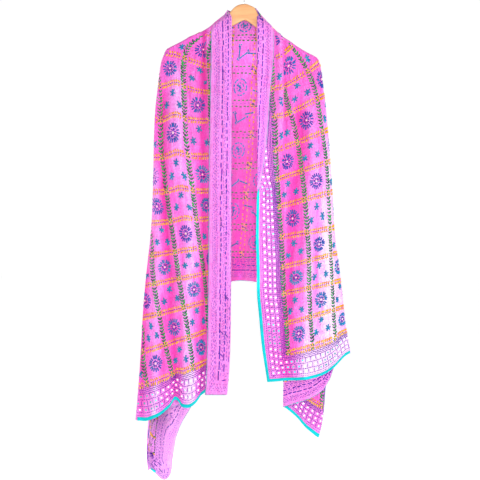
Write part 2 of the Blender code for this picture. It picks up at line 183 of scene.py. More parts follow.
# Where the lines of the cloth run on the fronts: v, or (drop, v), then (drop, distance from the middle).
longLines = {
    "left": (
        (177.5, (
            (92.6, 75), (131, 70), (154, 72), (172, 80), (200, 95), (259.6, 104.6), (378.7, 95.9), (474.6, 90),
            (600, 76), (720, 68), (900, 70), (1230, 62),
        )),
        (((92.6, 215), (131, 212), (172, 205), (205, 189), (235, 184.5), (260, 181.5), (294, 180), (340, 184),
          (400, 188),
          (474.6, 193.4), (600, 200), (720, 203.9), (900, 203.8), (1230, 209.9)), besidePleat["left"]),
        (((92.6, 250), (131, 251), (172, 251), (205, 220), (235, 210), (260, 204.5), (294, 199), (340, 196),
          (400, 190.5),
          (474.6, 195.8), (600, 202.5), (720, 206.6), (900, 208.6), (1230, 219)), moved(besidePleat["left"], 2)),
        (270, (
            (92.6, 92), (131, 98), (154, 106), (171.8, 125.8), (195.6, 154.9), (216, 165.7), (240.7, 172.6),
            (288.6, 175), (375.8, 171.5), (474.6, 165.7), (550.2, 157), (625.8, 145.9), (718.8, 134.9),
            (794.4, 123.8), (904.8, 108.1), (992, 102.6), (1143, 88), (1230, 82),
        )),
        (362.5, (
            (92.6, 190), (154, 205), (186, 233), (220, 258.5), (335, 244.1), (410.7, 241.2), (495, 239.2),
            (585.1, 228.2), (672.3, 217.1), (774, 201.4), (881.5, 186), (971.6, 170.3), (1061.7, 154.9),
            (1143.1, 144.7), (1230, 139.5),
        )),
        (455, (
            (92.6, 300), (220, 351), (335, 345), (560, 307), (785.6, 265.9), (861.2, 262.7), (948.4, 250.5),
            (1015.2, 239.2), (1070.5, 228.2), (1096.6, 220), (1143.1, 210.1), (1230, 195),
        )),
        (547.5, (
            (92.6, 390), (220, 443), (785.6, 366), (960, 318), (1047.2, 292), (1087.9, 292.4), (1143.1, 288),
            (1198.3, 277), (1280, 264.5),
        )),
        (640, ((92.6, 480), (220, 533), (785.6, 456), (960, 400), (1143, 374), (1280, 350))),
    ),
    "right": (
        (85, (
            (86.7, 46), (150, 62), (200, 76), (279.9, 85.2), (340.9, 82.8), (404.9, 92.4), (518.2, 95.9),
            (651.9, 102.6), (803, 113.3), (928, 118), (992, 125), (1090, 130.8), (1178, 133.7),
        )),
        (((86.7, 112), (150, 134), (183, 130), (235, 124), (280, 119), (354, 120), (408, 116), (466, 112),
          (520, 112),
          (620, 105.8), (700, 102.6), (800, 101.8), (928, 102.3), (1166, 104.6)), besidePleat["right"]),
        (((86.7, 205), (150, 206), (187, 206), (270, 210), (300, 198), (322, 181), (330, 176.5), (354, 170),
          (387, 162), (408, 151), (466, 137), (520, 125), (620, 108.3), (700, 105), (800, 104.2), (928, 104.7),
          (1166, 107.1)), moved(besidePleat["right"], 2)),
        (((86.7, 206), (187, 207), (270, 211), (300, 199), (322, 182), (332, 177.5), (1166, 177.5)), (
            (86.7, 57), (119, 79), (150, 111), (187, 118.8), (325, 119), (332.2, 119.4), (354, 125), (387, 133.5),
            (407.8, 140.2), (465.9, 155), (585, 173), (707, 184.3), (814.7, 191), (948.4, 193.1), (1082, 202.1),
            (1166, 208.5),
        )),
        (270, (
            (86.7, 80), (150, 118), (201.4, 140.7), (236.3, 167.1), (279.9, 193.6), (352.6, 217.7), (434, 229.6),
            (529.9, 242.7), (672.3, 251.4), (861.2, 258.1), (1038.5, 267.1), (1137, 273),
        )),
        (362.5, (
            (86.7, 120), (150, 170), (201, 215), (234, 246), (350, 262), (434, 272), (530, 283), (672, 292),
            (861, 300), (1038, 318), (1137, 330),
        )),
    ),
}
# v along the turn of each lapel, by drop.
foldAcross = {
    "left": ((92.6, 60), (162, 60), (500, 63), (1037, 67), (1296, 68)),
    "right": (
        (86.7, 54), (155, 55), (240, 53), (329, 47), (451, 41), (540, 35), (585, 27), (612, 12), (632, 0),
        (1183, 0),
    ),
}
# Drops of the crosswise lines of the cloth, from its end up, near the lapel and at the outer turn, and how
# much further down the cloth a place is beside the fold that runs down the front.
crossLines = {
    "left": {
        "near": 104.6, "reach": -0.5, "humpHalf": 28,
        "hump": ((170, 3), (225, 5), (300, 16), (422, 16), (520, 12), (620, 10), (705, 7.5), (800, 0)),
        "humpLine": ((225, 196), (306, 195), (422, 198), (539, 190), (655, 178), (771, 165)),
        "inner": (1119, 1035.6, 949, 866.7, 791.4, 709.2, 629.3, 527, 422.9, 338.3, 260.7, 165.1, 70, -28),
        "outer": (1194.8, 1098.6, 997.2, 903.3, 817.6, 721.7, 631.6, 531.3, 420.6, 319.5, 221, 125, 30, -66),
    },
    "right": {
        "near": 136.6, "reach": -0.5, "humpHalf": 24,
        "hump": ((170, 11), (213, 12), (315, 15), (400, 12), (480, 4), (560, 0)),
        "humpLine": ((170, 82), (560, 84)),
        "inner": (1089, 1011.2, 922.2, 844.3, 758.3, 665, 582.2, 495.9, 399, 313, 207, 110, 16, -78),
        "outer": (1032.7, 965.8, 889, 808.9, 736.2, 630.1, 541.5, 449.9, 347, 250, 127, 32, -63, -158),
    },
}
# Down the middle of the back, v and u by drop.
backMiddle = {
    "across": (
        (100, 84), (170, 177.5), (263.5, 270), (361, 362.5), (453.7, 455), (547.5, 547.5), (636.5, 640),
        (732.2, 732.5), (815.5, 825), (894, 910),
    ),
    "along": ((100, 1191), (181, 1197), (812, 1250), (894, 1260)),
    # x of one line of the cloth, inside the back, and how wide round it the squares stay even
    "lineU": 1255, "evenHalf": 62, "stretch": 1.2,
    "line": (
        (100, 45), (200, 39), (323, 31), (363, 29), (435, 25), (506, 23), (541, 19), (580, 17), (628, 9), (679, 7),
        (731, 3.5), (798, -2.4), (894, -10),
    ),
}


def follow(table, at):
    # smooth value between the rows of a table, without overshoot
    xs, ys = np.array(table, float).T
    step = np.diff(ys) / np.diff(xs)
    slope = np.concatenate([[step[0]], (step[:-1] + step[1:]) / 2, [step[-1]]])
    turn = np.concatenate([[False], step[:-1] * step[1:] <= 0, [False]])
    least = np.concatenate([[abs(step[0])], np.minimum(abs(step[:-1]), abs(step[1:])), [abs(step[-1])]])
    slope = np.where(turn, 0, np.clip(slope, -2.5 * least, 2.5 * least))
    at = np.clip(np.asarray(at, float), xs[0], xs[-1])
    i = np.clip(np.searchsorted(xs, at) - 1, 0, len(xs) - 2)
    wide = xs[i + 1] - xs[i]
    t = (at - xs[i]) / wide
    return (
        ys[i] * (1 + 2 * t) * (1 - t) ** 2
        + ys[i + 1] * t * t * (3 - 2 * t)
        + wide * (slope[i] * t * (1 - t) ** 2 - slope[i + 1] * t * t * (1 - t))
    )


def rise(q):
    q = np.clip(q, 0, 1)
    return q * q * (3 - 2 * q)


def quarter(q):
    return np.sqrt(np.clip(1 - (1 - np.clip(q, 0, 1)) ** 2, 0, 1))


def bell(q):
    return np.exp(-(q ** 2))


def softFolds(table, x, drop):
    total = 0
    for top, low, start, half, height in table:
        line = top + (low - top) * (drop - start) / (1200 - start)
        total = total + height * rise((drop - start) / (1000 - start)) * bell((x - line) / half)
    return total


def drawnFolds(table, x, drop):
    total = 0 * x
    for path, half, height in table:
        fade = rise((drop - path[0][0]) / 90) * rise((path[-1][0] - drop) / 90)
        total = total + height * fade * bell((x - follow(path, drop)) / half)
    return total


def atPleat(side, x, drop):
    # distance outwards from a pleat, and how far the pleat is drawn there
    pleat, sign = frontPleats[side], {"left": -1, "right": 1}[side]
    fade = rise((drop - pleat["starts"]) / 45) * rise((pleat["fades"] - drop) / 130)
    return sign * x - follow(pleat["line"], drop), fade, sign * x > 0


def pleatStep(x, drop):
    # the layer nearer the middle laps over the outer one
    total = 0 * x
    for side, pleat in frontPleats.items():
        away, fade, own = atPleat(side, x, drop)
        over = bell((away + 3) / 12)
        under = (1 - rise(away / 2.6)) * 0.94 - 0.75 * bell((away - 6) / 7) * rise(away / 3)
        total = total + pleat["high"] * fade * np.where(away < 0, over, under) * own
    return total


def turnedBack(x, drop):
    # each front falls away towards its outer turn
    total = 0 * x
    for side, sign, amount in (("left", -1, 7), ("right", 1, 17)):
        half = halves[side]
        outer = abs(follow(half["outer"], np.maximum(drop, half["tip"])))
        total = total + amount * np.clip((sign * x - outer + 78) / 78, 0, 1) ** 2 * rise((drop - 330) / 330)
    return total


# on the right front, distance from the middle where a painted highlight starts to pale the cloth towards its outer
# turn, as the glare of the strong light from the right
glareLine = (300, 214), (420, 206), (655, 182), (830, 168), (1004, 156), (1120, 150)


def paintedShadeAndLight(x, drop):
    # painted shade and painted highlight put into the cloth's colour: pale on the crests of the folds, deep in
    # their troughs
    tone = drawnFolds(frontFolds, x, drop) / 8 + drawnFolds(smallCreases, x, drop) / 4.5
    # beside each pleat, a painted highlight on the edge of the upper layer and a painted shadow where it laps over
    # the lower one
    for side, shadeDepth in (("left", 1.5), ("right", 0.5)):
        away, fade, own = atPleat(side, x, drop)
        tone = tone + fade * own * np.where(away < 0, 0.6 * bell((away + 6) / 6), -shadeDepth * bell(away / 9))
    # towards the right front's outer turn the cloth pales with a painted highlight, the glare of the strong light
    # from the right
    return tone + 1.35 * rise((x - follow(glareLine, drop)) / 62) * rise((drop - 240) / 160)


def armDrop(x):
    left = follow([(-line, drop) for drop, line in halves["left"]["outer"][1:14]], -x)
    right = follow([(line, drop) for drop, line in halves["right"]["outer"][1:12]], x)
    return np.where(x < 0, left, right)


def flatLevel(x, drop, full):
    # distance from the hanger's middle plane, opening out below the arm
    openOut = rise((drop - armDrop(x) + 30) / 420)
    return cloth["ridgeHalf"] + (full - cloth["ridgeHalf"]) * openOut


def frontLevel(x, drop):
    drawn = drawnFolds(frontFolds, x, drop) + drawnFolds(smallCreases, x, drop)
    return -flatLevel(x, drop, cloth["frontFull"]) + turnedBack(x, drop) - drawn - pleatStep(x, drop)


def backLevel(x, drop):
    hollow = 5 * bell(x / 90) * rise((drop - 90) / 60)
    return flatLevel(x, drop, cloth["backFull"]) + hollow + softFolds(backFolds, x, drop)


def sideOpen(drop, tip):
    return rise((drop - tip) / 250)


def section(x, near, far, level, nearY, farY, nearRound, farRound):
    # level between its two edges, rounded into the turn at each
    a = 1 - quarter(abs(x - near) / nearRound)
    b = 1 - quarter(abs(far - x) / farRound)
    return level + (nearY - level) * a + (farY - level) * b


def outerRound(drop, tip):
    return 15 - 2 * rise((drop - tip) / 60)


def frontPanel(s, t, side):
    half = halves[side]
    drop = half["neckDrop"] + (follow(half["hem"], s) - half["neckDrop"]) * t
    innerX, outerX = follow(half["fold"], drop), follow(half["outer"], drop)
    x = innerX + (outerX - innerX) * s
    level = frontLevel(x, drop)
    outerY = cloth["turnY"][0] * sideOpen(drop, half["tip"])
    wide = np.clip(abs(outerX - innerX) / 40, 0, 1)
    y = section(x, innerX, outerX, level, frontLevel(innerX, drop), outerY, 3.0, outerRound(drop, half["tip"]))
    return x, y * wide, drop


def lapel(s, t, side):
    half = halves[side]
    drop = half["neckDrop"] + (half["lapelEnd"] - half["neckDrop"]) * t
    innerX, outerX = follow(half["fold"], drop), follow(half["lapelEdge"], drop)
    x = innerX + (outerX - innerX) * s
    wide = np.clip(abs(follow(half["outer"], drop) - innerX) / 40, 0, 1)
    innerY = frontLevel(innerX, drop) * wide
    width = abs(outerX - innerX)
    ribs = 0.75 * np.sin(width * s / 2.7 + 1.2 * np.sin(drop / 170)) + 0.5 * np.sin(width * s / 1.7 + drop / 240)
    lift = cloth["lapelLift"] * rise(width / 30) + ribs * rise(5 * s) * rise(5 - 5 * s)
    level = (frontLevel(x, drop) - lift) * wide
    onArm = 1 - rise((drop - half["overArm"]) / 16)
    return x, section(x, innerX, outerX, level, innerY, level * (1 - onArm), 3.0, 16.0), drop


def collar(s, t):
    drop = follow(neckLine, s) * (1 - t) + follow(collarEdge, s) * t
    leftX = follow(halves["left"]["lapelEdge"][:3] + ((186, -172),), drop)
    rightX = follow(halves["right"]["lapelEdge"][:4] + ((186, 150),), drop)
    topX, topY, topDrop = backPanel(s, 0 * t)
    topLeft = follow(halves["left"]["lapelEdge"][:3], topDrop)
    topRight = follow(halves["right"]["lapelEdge"][:4], topDrop)
    x = leftX + (rightX - leftX) * s + (topX - topLeft - (topRight - topLeft) * s) * (1 - t) ** 6
    level = backLevel(x, drop) + 4.2
    y = section(x, leftX, rightX, level, 0, 0, 16.0, 16.0)
    turned = quarter((drop - follow(neckLine, s)) / 4.0)
    return x, topY + (y - topY) * turned, drop


def backPanel(s, t):
    drop = follow(neckLine, s) * (1 - t) + follow(backEdge, s) * t
    edges = []
    for half in halves.values():
        tip = half["tip"]
        x = np.where(drop < tip, follow(half["outer"], np.minimum(drop, tip)), follow(half["back"], drop))
        edges.append((x, cloth["turnY"][2] * sideOpen(drop, tip), outerRound(drop, tip)))
    (leftX, leftY, leftRound), (rightX, rightY, rightRound) = edges
    x = leftX + (rightX - leftX) * s
    return x, section(x, leftX, rightX, backLevel(x, drop), leftY, rightY, leftRound, rightRound), drop


def sideFold(s, t, side):
    # from the outer turn in to the inner turn, then out again to the turn into the back
    half = halves[side]
    tip = half["tip"]
    drop = tip + (follow(half["sideHem"], s) - tip) * t
    x1, x2, x3 = follow(half["outer"], drop), follow(half["inner"], drop), follow(half["back"], drop)
    opened = sideOpen(drop, tip)
    y1, y2, y3 = (turn * opened for turn in cloth["turnY"])
    first, second = np.clip(2 * s, 0, 1), np.clip(2 * s - 1, 0, 1)
    x = np.where(s < 0.5, x1 + (x2 - x1) * first, x2 + (x3 - x2) * second)
    wave = 3 * opened * np.sin(first * 9 + drop / 210)
    yFirst = section(x, x1, x2, -17 * opened + wave, y1, y2, 13.0, 13.0)
    ySecond = section(x, x2, x3, 12 * opened + wave * 0.6, y2, y3, 13.0, 13.0)
    y = np.where(s < 0.5, yFirst, ySecond)
    grown = rise((abs(x2 - x1) - 14) / 30)
    plainX, plainY = x1 + (x3 - x1) * s, y1 + (y3 - y1) * s
    bulge = 3 * np.sin(math.pi * s) * (-1 if side == "left" else 1) * (1 - grown) * rise((drop - tip) / 30)
    return plainX + (x - plainX) * grown + bulge, plainY + (y - plainY) * grown, drop


def pieces(*stops):
    # shares made of evenly divided stretches, given as stop, count, stop, count, stop
    made = [np.array([stops[0]], float)]
    for start, count, end in zip(stops[0::2], stops[1::2], stops[2::2]):
        made.append(np.linspace(start, end, count + 1)[1:])
    return np.concatenate(made)


frontRows = {"neck": 10, "arm": 12, "left": 134, "lapel": 50, "corner": 56, "low": 28}
tipRow = frontRows["neck"] + frontRows["arm"]


def rowsOf(side):
    # shares down a front, so that a row falls on each place where another stretch starts
    half, rows = halves[side], frontRows
    neck, tip, low = half["neckDrop"], half["tip"], half["hem"][-1][1]
    fold, outer = half["hem"][0][1] - neck, low - neck
    first = 0, rows["neck"], (half["overArm"] - neck) / fold, rows["arm"], (tip - neck) / outer
    if side == "left":
        return pieces(*first, rows["left"], 1)
    ends = (half["lapelEnd"] - neck) / fold
    corner = (tip - neck + (low - tip) * (backEdge[-1][1] - tip) / (half["sideHem"][-1][1] - tip)) / outer
    return pieces(*first, rows["lapel"], ends, rows["corner"], corner, rows["low"], 1)


def frontUv(side, x, drop):
    # place in the flat cloth of a point on a front
    away = abs(x)
    knots = [np.full(away.shape, 1.0) * abs(follow(halves[side]["fold"], drop))]
    values = [follow(foldAcross[side], drop) + 0 * away]
    for v, table in longLines[side]:
        knots.append(follow(table, drop) + 0 * away)
        values.append(follow(v, drop) if isinstance(v, tuple) else np.full(away.shape, float(v)))
    at = np.clip((away[None] >= np.array(knots)).sum(0) - 1, 0, len(knots) - 2)[None]
    k0, k1, v0, v1 = (
        np.take_along_axis(np.array(rows), at + further, 0)[0] for rows in (knots, values) for further in (0, 1)
    )
    v = v0 + (v1 - v0) * np.maximum(away - k0, 0) / np.maximum(k1 - k0, 1)
    lines = crossLines[side]
    tip = halves[side]["tip"]
    silhouette = abs(follow(halves[side]["outer"], np.maximum(drop, tip)))
    w = np.maximum((away - lines["near"]) / (silhouette - lines["near"]), lines["reach"])[..., None]
    drops = np.array(lines["inner"]) * (1 - w) + np.array(lines["outer"]) * w
    drop = drop + follow(lines["hump"], drop) * bell((away - follow(lines["humpLine"], drop)) / lines["humpHalf"])
    below = np.clip((drop[..., None] <= drops).sum(-1, keepdims=True) - 1, 0, drops.shape[-1] - 2)
    d0, d1 = (np.take_along_axis(drops, below + further, -1)[..., 0] for further in (0, 1))
    u = cloth["border"] + cloth["cellLong"] * (below[..., 0] + (drop - d0) / (d1 - d0))
    return u, v


def makePatch(name, shape, across, down, flip):
    # down is one list of shares for the whole patch, or one for each column
    down = np.broadcast_to(np.array(down, float), (len(across), np.shape(down)[-1]))
    s = np.broadcast_to(np.array(across, float)[:, None], down.shape)
    x, y, drop = (np.array(v, float) for v in np.broadcast_arrays(*shape(s, down)))
    return {"name": name, "s": s, "x": x, "y": y, "drop": drop, "flip": flip}


# painted shade: how much deeper the inside of the back is coloured behind the opening, where shade falls, by drop
innerPaintedShade = (90, 0.15), (300, 0.45), (500, 0.75), (800, 1.1), (900, 0.8), (1100, 0)


def finishPatch(patch, u, v):
    points = np.stack([patch["x"], patch["y"], -patch["drop"]], axis=-1)
    normal = np.cross(np.gradient(points, axis=0), np.gradient(points, axis=1))
    normal /= np.maximum(np.linalg.norm(normal, axis=-1, keepdims=True), 1e-9)
    patch["points"], patch["normal"] = points, np.nan_to_num(normal) * (-1 if patch["flip"] else 1)
    patch["inner"] = patch["tone"] = 0 * patch["x"]
    if "Front" in patch["name"]:
        # the fronts carry the painted shade and painted highlight of their folds and pleats
        patch["tone"] = paintedShadeAndLight(patch["x"], patch["drop"])
    elif patch["name"] == "back":
        # painted shade in the hollows of the back's folds and painted highlight on their crests
        patch["tone"] = softFolds(backFolds, patch["x"], patch["drop"]) / 34
        # the inside of the back is painted deeper behind the opening, where shade falls, and the foot at its
        # lowest part is painted paler, as painted light on a part in shade
        shadeDepth = follow(innerPaintedShade, patch["drop"])
        patch["inner"] = rise((patch["drop"] - 1150) / 120) * 0.7 - shadeDepth * rise((150 - abs(patch["x"])) / 50)
    patch["uv"] = np.stack([u, v], axis=-1)
    return patch


def arcShare(points):
    # share of the way along the first axis, by length
    step = np.linalg.norm(np.diff(points, axis=0), axis=-1)
    along = np.concatenate([0 * step[:1], np.cumsum(step, axis=0)])
    return along / np.maximum(along[-1:], 1e-6)


def relax(points, uv, held, rounds):
    # spreads uv evenly over the surface between the points that are held
    alongS, alongT = (np.linalg.norm(np.diff(points, axis=axis), axis=-1) for axis in (0, 1))
    spanT, spanS = np.zeros(points.shape[:2]), np.zeros(points.shape[:2])
    spanT[:, 1:-1] = (alongT[:, 1:] + alongT[:, :-1]) / 2
    spanS[1:-1] = (alongS[1:] + alongS[:-1]) / 2
    ws = ((spanT[1:] + spanT[:-1]) / 2 / np.maximum(alongS, 0.5))[..., None] + 0.01
    wt = ((spanS[:, 1:] + spanS[:, :-1]) / 2 / np.maximum(alongT, 0.5))[..., None] + 0.01
    total = ws[1:, 1:-1] + ws[:-1, 1:-1] + wt[1:-1, 1:] + wt[1:-1, :-1]
    inside = uv[1:-1, 1:-1]
    checker = np.indices(inside.shape[:2]).sum(0) % 2
    for step in range(2 * rounds):
        even = (
            ws[1:, 1:-1] * uv[2:, 1:-1] + ws[:-1, 1:-1] * uv[:-2, 1:-1]
            + wt[1:-1, 1:] * uv[1:-1, 2:] + wt[1:-1, :-1] * uv[1:-1, :-2]
        ) / total
        moved = ((checker == step % 2) & ~held[1:-1, 1:-1])[..., None]
        inside += np.where(moved, 1.8 * (even - inside), 0)
    return uv


laying = {
    # shares across a front, a side fold and the back, with more columns at the turns
    "front": pieces(0, 6, 0.29, 19, 0.47, 27, 0.93, 3, 0.97, 3, 0.99, 3, 1),
    "lapel": pieces(0, 3, 0.06, 17, 0.8, 4, 1), "foldHalf": pieces(0, 4, 0.02, 4, 0.1, 8, 0.9, 4, 0.98, 4, 1),
    "back": pieces(0, 5, 0.02, 4, 0.045, 60, 0.955, 4, 0.98, 5, 1), "collar": pieces(0, 10, 1),
    # the left fold's foot in the flat cloth, and the back's corner at the right with what hangs past it
    "leftFoot": (0, 815.0), "rightCorner": (2208.0, 910.0), "rightPast": 212.0, "rightDip": 66.0,
    # share along the back's lower edge where the long corner comes, and u at its middle
    "longCorner": 0.13, "middleU": 1262, "evenDrops": (128, 885), "rounds": 500,
    # drop and distance from the edge over which the border keeps its width by the long corner
    "borderFrom": 1150, "borderReach": 140, "borderX": -140, "borderEnd": 70,
}


def layFront(made, side):
    # a front, the lapel turned over from it, and the fold in behind its outer turn
    half, left = halves[side], side == "left"
    down, lapelRow = rowsOf(side), tipRow + frontRows["lapel"]
    front = makePatch(f"{side}Front", lambda s, t: frontPanel(s, t, side), laying["front"], down, not left)
    u, v = frontUv(side, front["x"], front["drop"])
    hem = follow(half["hem"], front["s"])
    u = u - u[:, -1:] * rise((front["drop"] - hem + 150) / 150)
    trueU = u if left else cloth["length"] - u
    made[front["name"]] = finishPatch(front, trueU, v)

    lapelDown = down if left else down[: lapelRow + 1] / down[lapelRow]
    turned = makePatch(f"{side}Lapel", lambda s, t: lapel(s, t, side), laying["lapel"], lapelDown, left)
    foldU, foldV = (values[:1, : len(lapelDown)] for values in (trueU, v))
    edgeV = foldV[0, 0] * np.clip(1 - np.arange(len(lapelDown)) / frontRows["neck"], 0, 1)[None]
    made[turned["name"]] = finishPatch(turned, foldU + 0 * turned["s"], foldV + (edgeV - foldV) * turned["s"])

    tip = half["tip"]
    sideDown = (front["drop"][-1, tipRow:] - tip) / (half["hem"][-1][1] - tip)
    folded = np.concatenate([laying["foldHalf"] / 2, 0.5 + laying["foldHalf"][1:] / 2])
    inward = makePatch(f"{side}Side", lambda s, t: sideFold(s, t, side), folded, sideDown, not left)
    finishPatch(inward, 0 * inward["s"], inward["s"])
    share = arcShare(inward["points"])[..., None]
    nearUv = np.stack([trueU[-1, tipRow:], v[-1, tipRow:]], axis=-1)[None]
    backDrop = inward["drop"][-1]
    last = backDrop[-1] if left else backEdge[-1][1]
    q = np.clip((backDrop - tip) / (last - tip), 0, 1)[:, None]
    farUv = nearUv[0, 0] + (np.array(laying["leftFoot" if left else "rightCorner"]) - nearUv[0, 0]) * q
    if not left:
        past = np.clip((backDrop - last) / (half["sideHem"][-1][1] - last), 0, 1)[:, None]
        farUv = farUv + past * (laying["rightPast"], 0) - rise(past / 0.4) * (0, laying["rightDip"])
    inward["uv"] = nearUv * (1 - share) + farUv[None] * share
    made[inward["name"]] = inward


def outerRun(made, side, key):
    # values down the outer turn of a front, then down the back turn of the fold behind it
    return np.concatenate([made[f"{side}Front"][key][-1, :tipRow], made[f"{side}Side"][key][-1]])


def keepBorder(back, uv, past):
    # at the long corner the border keeps its own width beside the edge
    fine = np.linspace(0, past.sum() - 1, 14 * past.sum())
    edge, edgeUv = (
        np.stack([np.interp(fine, np.arange(past.sum()), v) for v in values[past, -1].T], axis=-1)
        for values in (back["points"], uv)
    )
    apart = np.linalg.norm(back["points"][:, :, None] - edge, axis=-1)
    inset = apart.min(-1)
    target = edgeUv[apart.argmin(-1)] - np.stack([0 * inset, inset], axis=-1)
    weight = rise((back["drop"] - laying["borderFrom"]) / 100) * rise((laying["borderReach"] - inset) / 60)
    weight = weight * rise(arcShare(back["points"]) / 0.05) * (back["x"] < laying["borderX"])
    weight *= rise(target[..., 0] / laying["borderEnd"])
    uv += (target - uv) * weight[..., None]


def layBack(made):
    across, s = laying["back"], laying["back"][:, None]
    down = []
    for side, edgeShare in (("left", 0), ("right", -1)):
        neck, low = halves[side]["neckDrop"], backEdge[edgeShare][1]
        down.append(((np.minimum(outerRun(made, side, "drop"), low) - neck) / (low - neck))[None])
    back = makePatch("back", backPanel, across, down[0] * (1 - s) + down[1] * s, False)
    finishPatch(back, 0 * back["s"], back["s"])
    share, uv, middle = arcShare(back["points"]), back["uv"], len(across) // 2
    leftUv, rightUv = outerRun(made, "left", "uv"), outerRun(made, "right", "uv")
    cornerU, cornerV = laying["rightCorner"]
    rightUv = np.where(rightUv[:, :1] > cornerU - 0.1, [[cornerU, cornerV]], rightUv)
    drop = back["drop"][middle]
    uv[middle] = np.stack([follow(backMiddle[key], drop) for key in ("along", "across")], axis=-1)
    for i in range(len(across)):
        if i < middle:
            w = (share[i] / np.maximum(share[middle], 1e-6))[:, None]
            uv[i] = leftUv * (1 - w) + uv[middle] * w
        elif i > middle:
            w = ((share[i] - share[middle]) / np.maximum(1 - share[middle], 1e-6))[:, None]
            uv[i] = uv[middle] * (1 - w) + rightUv * w
    uv[0], uv[-1] = leftUv, rightUv
    uv[:, 0] = leftUv[:1] * (1 - s) + rightUv[:1] * s
    uv[middle, 0] = (uv[middle - 1, 0] + uv[middle + 1, 0]) / 2
    lower = share[:, -1]
    corner = np.interp(laying["longCorner"], across, lower)
    uv[:, -1, 0] = np.interp(lower, [0, corner, lower[middle], 1], [0, 0, laying["middleU"], cornerU])
    uv[:, -1, 1] = np.interp(lower, [0, corner, 1], [laying["leftFoot"][1], cornerV, cornerV])
    first, last = laying["evenDrops"]
    held = (abs(back["x"]) < backMiddle["evenHalf"]) & (back["drop"] > first) & (back["drop"] < last)
    held[:, :2], held[:, -2:] = False, False
    away = (back["x"] - follow(backMiddle["line"], back["drop"])) * backMiddle["stretch"]
    even = np.stack([backMiddle["lineU"] + away, follow(backMiddle["across"], back["drop"])], axis=-1)
    uv[held] = even[held]
    held[middle] = True
    relax(back["points"], uv, held, laying["rounds"])
    keepBorder(back, uv, lower >= corner)
    made["back"] = back


def layCollar(made):
    s, down = laying["back"][:, None], laying["collar"]
    turned = makePatch("collar", collar, laying["back"], down, True)
    leftU, rightU = (made[f"{side}Lapel"]["uv"][-1, : len(down), 0] for side in halves)
    neckV = made["back"]["uv"][:, :1, 1]
    made["collar"] = finishPatch(turned, leftU * (1 - s) + rightU * s, neckV * (1 - down[None]))


def layOut():
    # every stretch of the cloth, as a grid of points with its place in the flat cloth
    made = {}
    for side in halves:
        layFront(made, side)
    layBack(made)
    layCollar(made)
    return made


made = layOut()
print("cloth laid out")


def nodesOf(name):
    material = bpy.data.materials.new(name)
    material.use_nodes = True
    tree = material.node_tree
    return material, tree, tree.nodes["Principled BSDF"]


def setInputs(tree, node, inputs):
    for key, value in inputs.items():
        if isinstance(value, bpy.types.NodeSocket):
            tree.links.new(value, node.inputs[key])
        else:
            node.inputs[key].default_value = value


def addNode(tree, kind, inputs=None, **settings):
    node = tree.nodes.new(kind)
    for key, value in settings.items():
        setattr(node, key, value)
    setInputs(tree, node, inputs or {})
    return node


def readAttribute(tree, name):
    return addNode(tree, "ShaderNodeAttribute", attribute_name=name).outputs["Fac"]


def clothPlace(tree):
    return addNode(tree, "ShaderNodeUVMap", uv_map="clothUv").outputs["UV"]


def objectPlace(tree):
    return addNode(tree, "ShaderNodeTexCoord").outputs["Object"]


def noise(tree, place, scale, detail=2.0, **inputs):
    # one scale for all directions, or three
    if isinstance(scale, tuple):
        place = addNode(tree, "ShaderNodeMapping", {"Vector": place, "Scale": scale}).outputs["Vector"]
        scale = 1.0
    inputs.update({"Vector": place, "Scale": scale, "Detail": detail})
    return addNode(tree, "ShaderNodeTexNoise", inputs).outputs["Fac"]


def waves(tree, place, direction, **inputs):
    inputs.update({"Vector": place, "Scale": 420.0})
    return addNode(tree, "ShaderNodeTexWave", inputs, bands_direction=direction).outputs["Fac"]


def sums(tree, a, b, c=None):
    # a + b, or a * b + c
    inputs = {0: a, 1: b} if c is None else {0: a, 1: b, 2: c}
    return addNode(tree, "ShaderNodeMath", inputs, operation="ADD" if c is None else "MULTIPLY_ADD").outputs[0]


def bump(tree, height, strength, distance, **inputs):
    inputs.update({"Height": height, "Strength": strength, "Distance": distance})
    return addNode(tree, "ShaderNodeBump", inputs).outputs["Normal"]


def ramp(tree, factor, *stops):
    node = addNode(tree, "ShaderNodeValToRGB", {"Fac": factor})
    elements = node.color_ramp.elements
    while len(elements) < len(stops):
        elements.new(0.5)
    for element, (at, colour) in zip(elements, stops):
        element.position, element.color = at, (*colour, 1)
    return node.outputs["Color"]


def mixed(tree, factor, a, b, kind="MIX"):
    node = addNode(tree, "ShaderNodeMix", data_type="RGBA", blend_type=kind)
    for socket, value in ((node.inputs[0], factor), (node.inputs[6], a), (node.inputs[7], b)):
        if isinstance(value, bpy.types.NodeSocket):
            tree.links.new(value, socket)
        else:
            socket.default_value = value if isinstance(value, float) else (*value, 1)
    return node.outputs[2]


dyeAndPaintedShade = {
    # places of the four colours, from painted shade through the plain dye to painted highlight, how much each
    # thing moves along them, and where plain cloth stands
    "stops": (0.0, 0.385, 0.77, 1.0), "tone": 1 / 2.6, "pucker": 0.5, "crinkle": 0.6, "plain": 0.385,
}


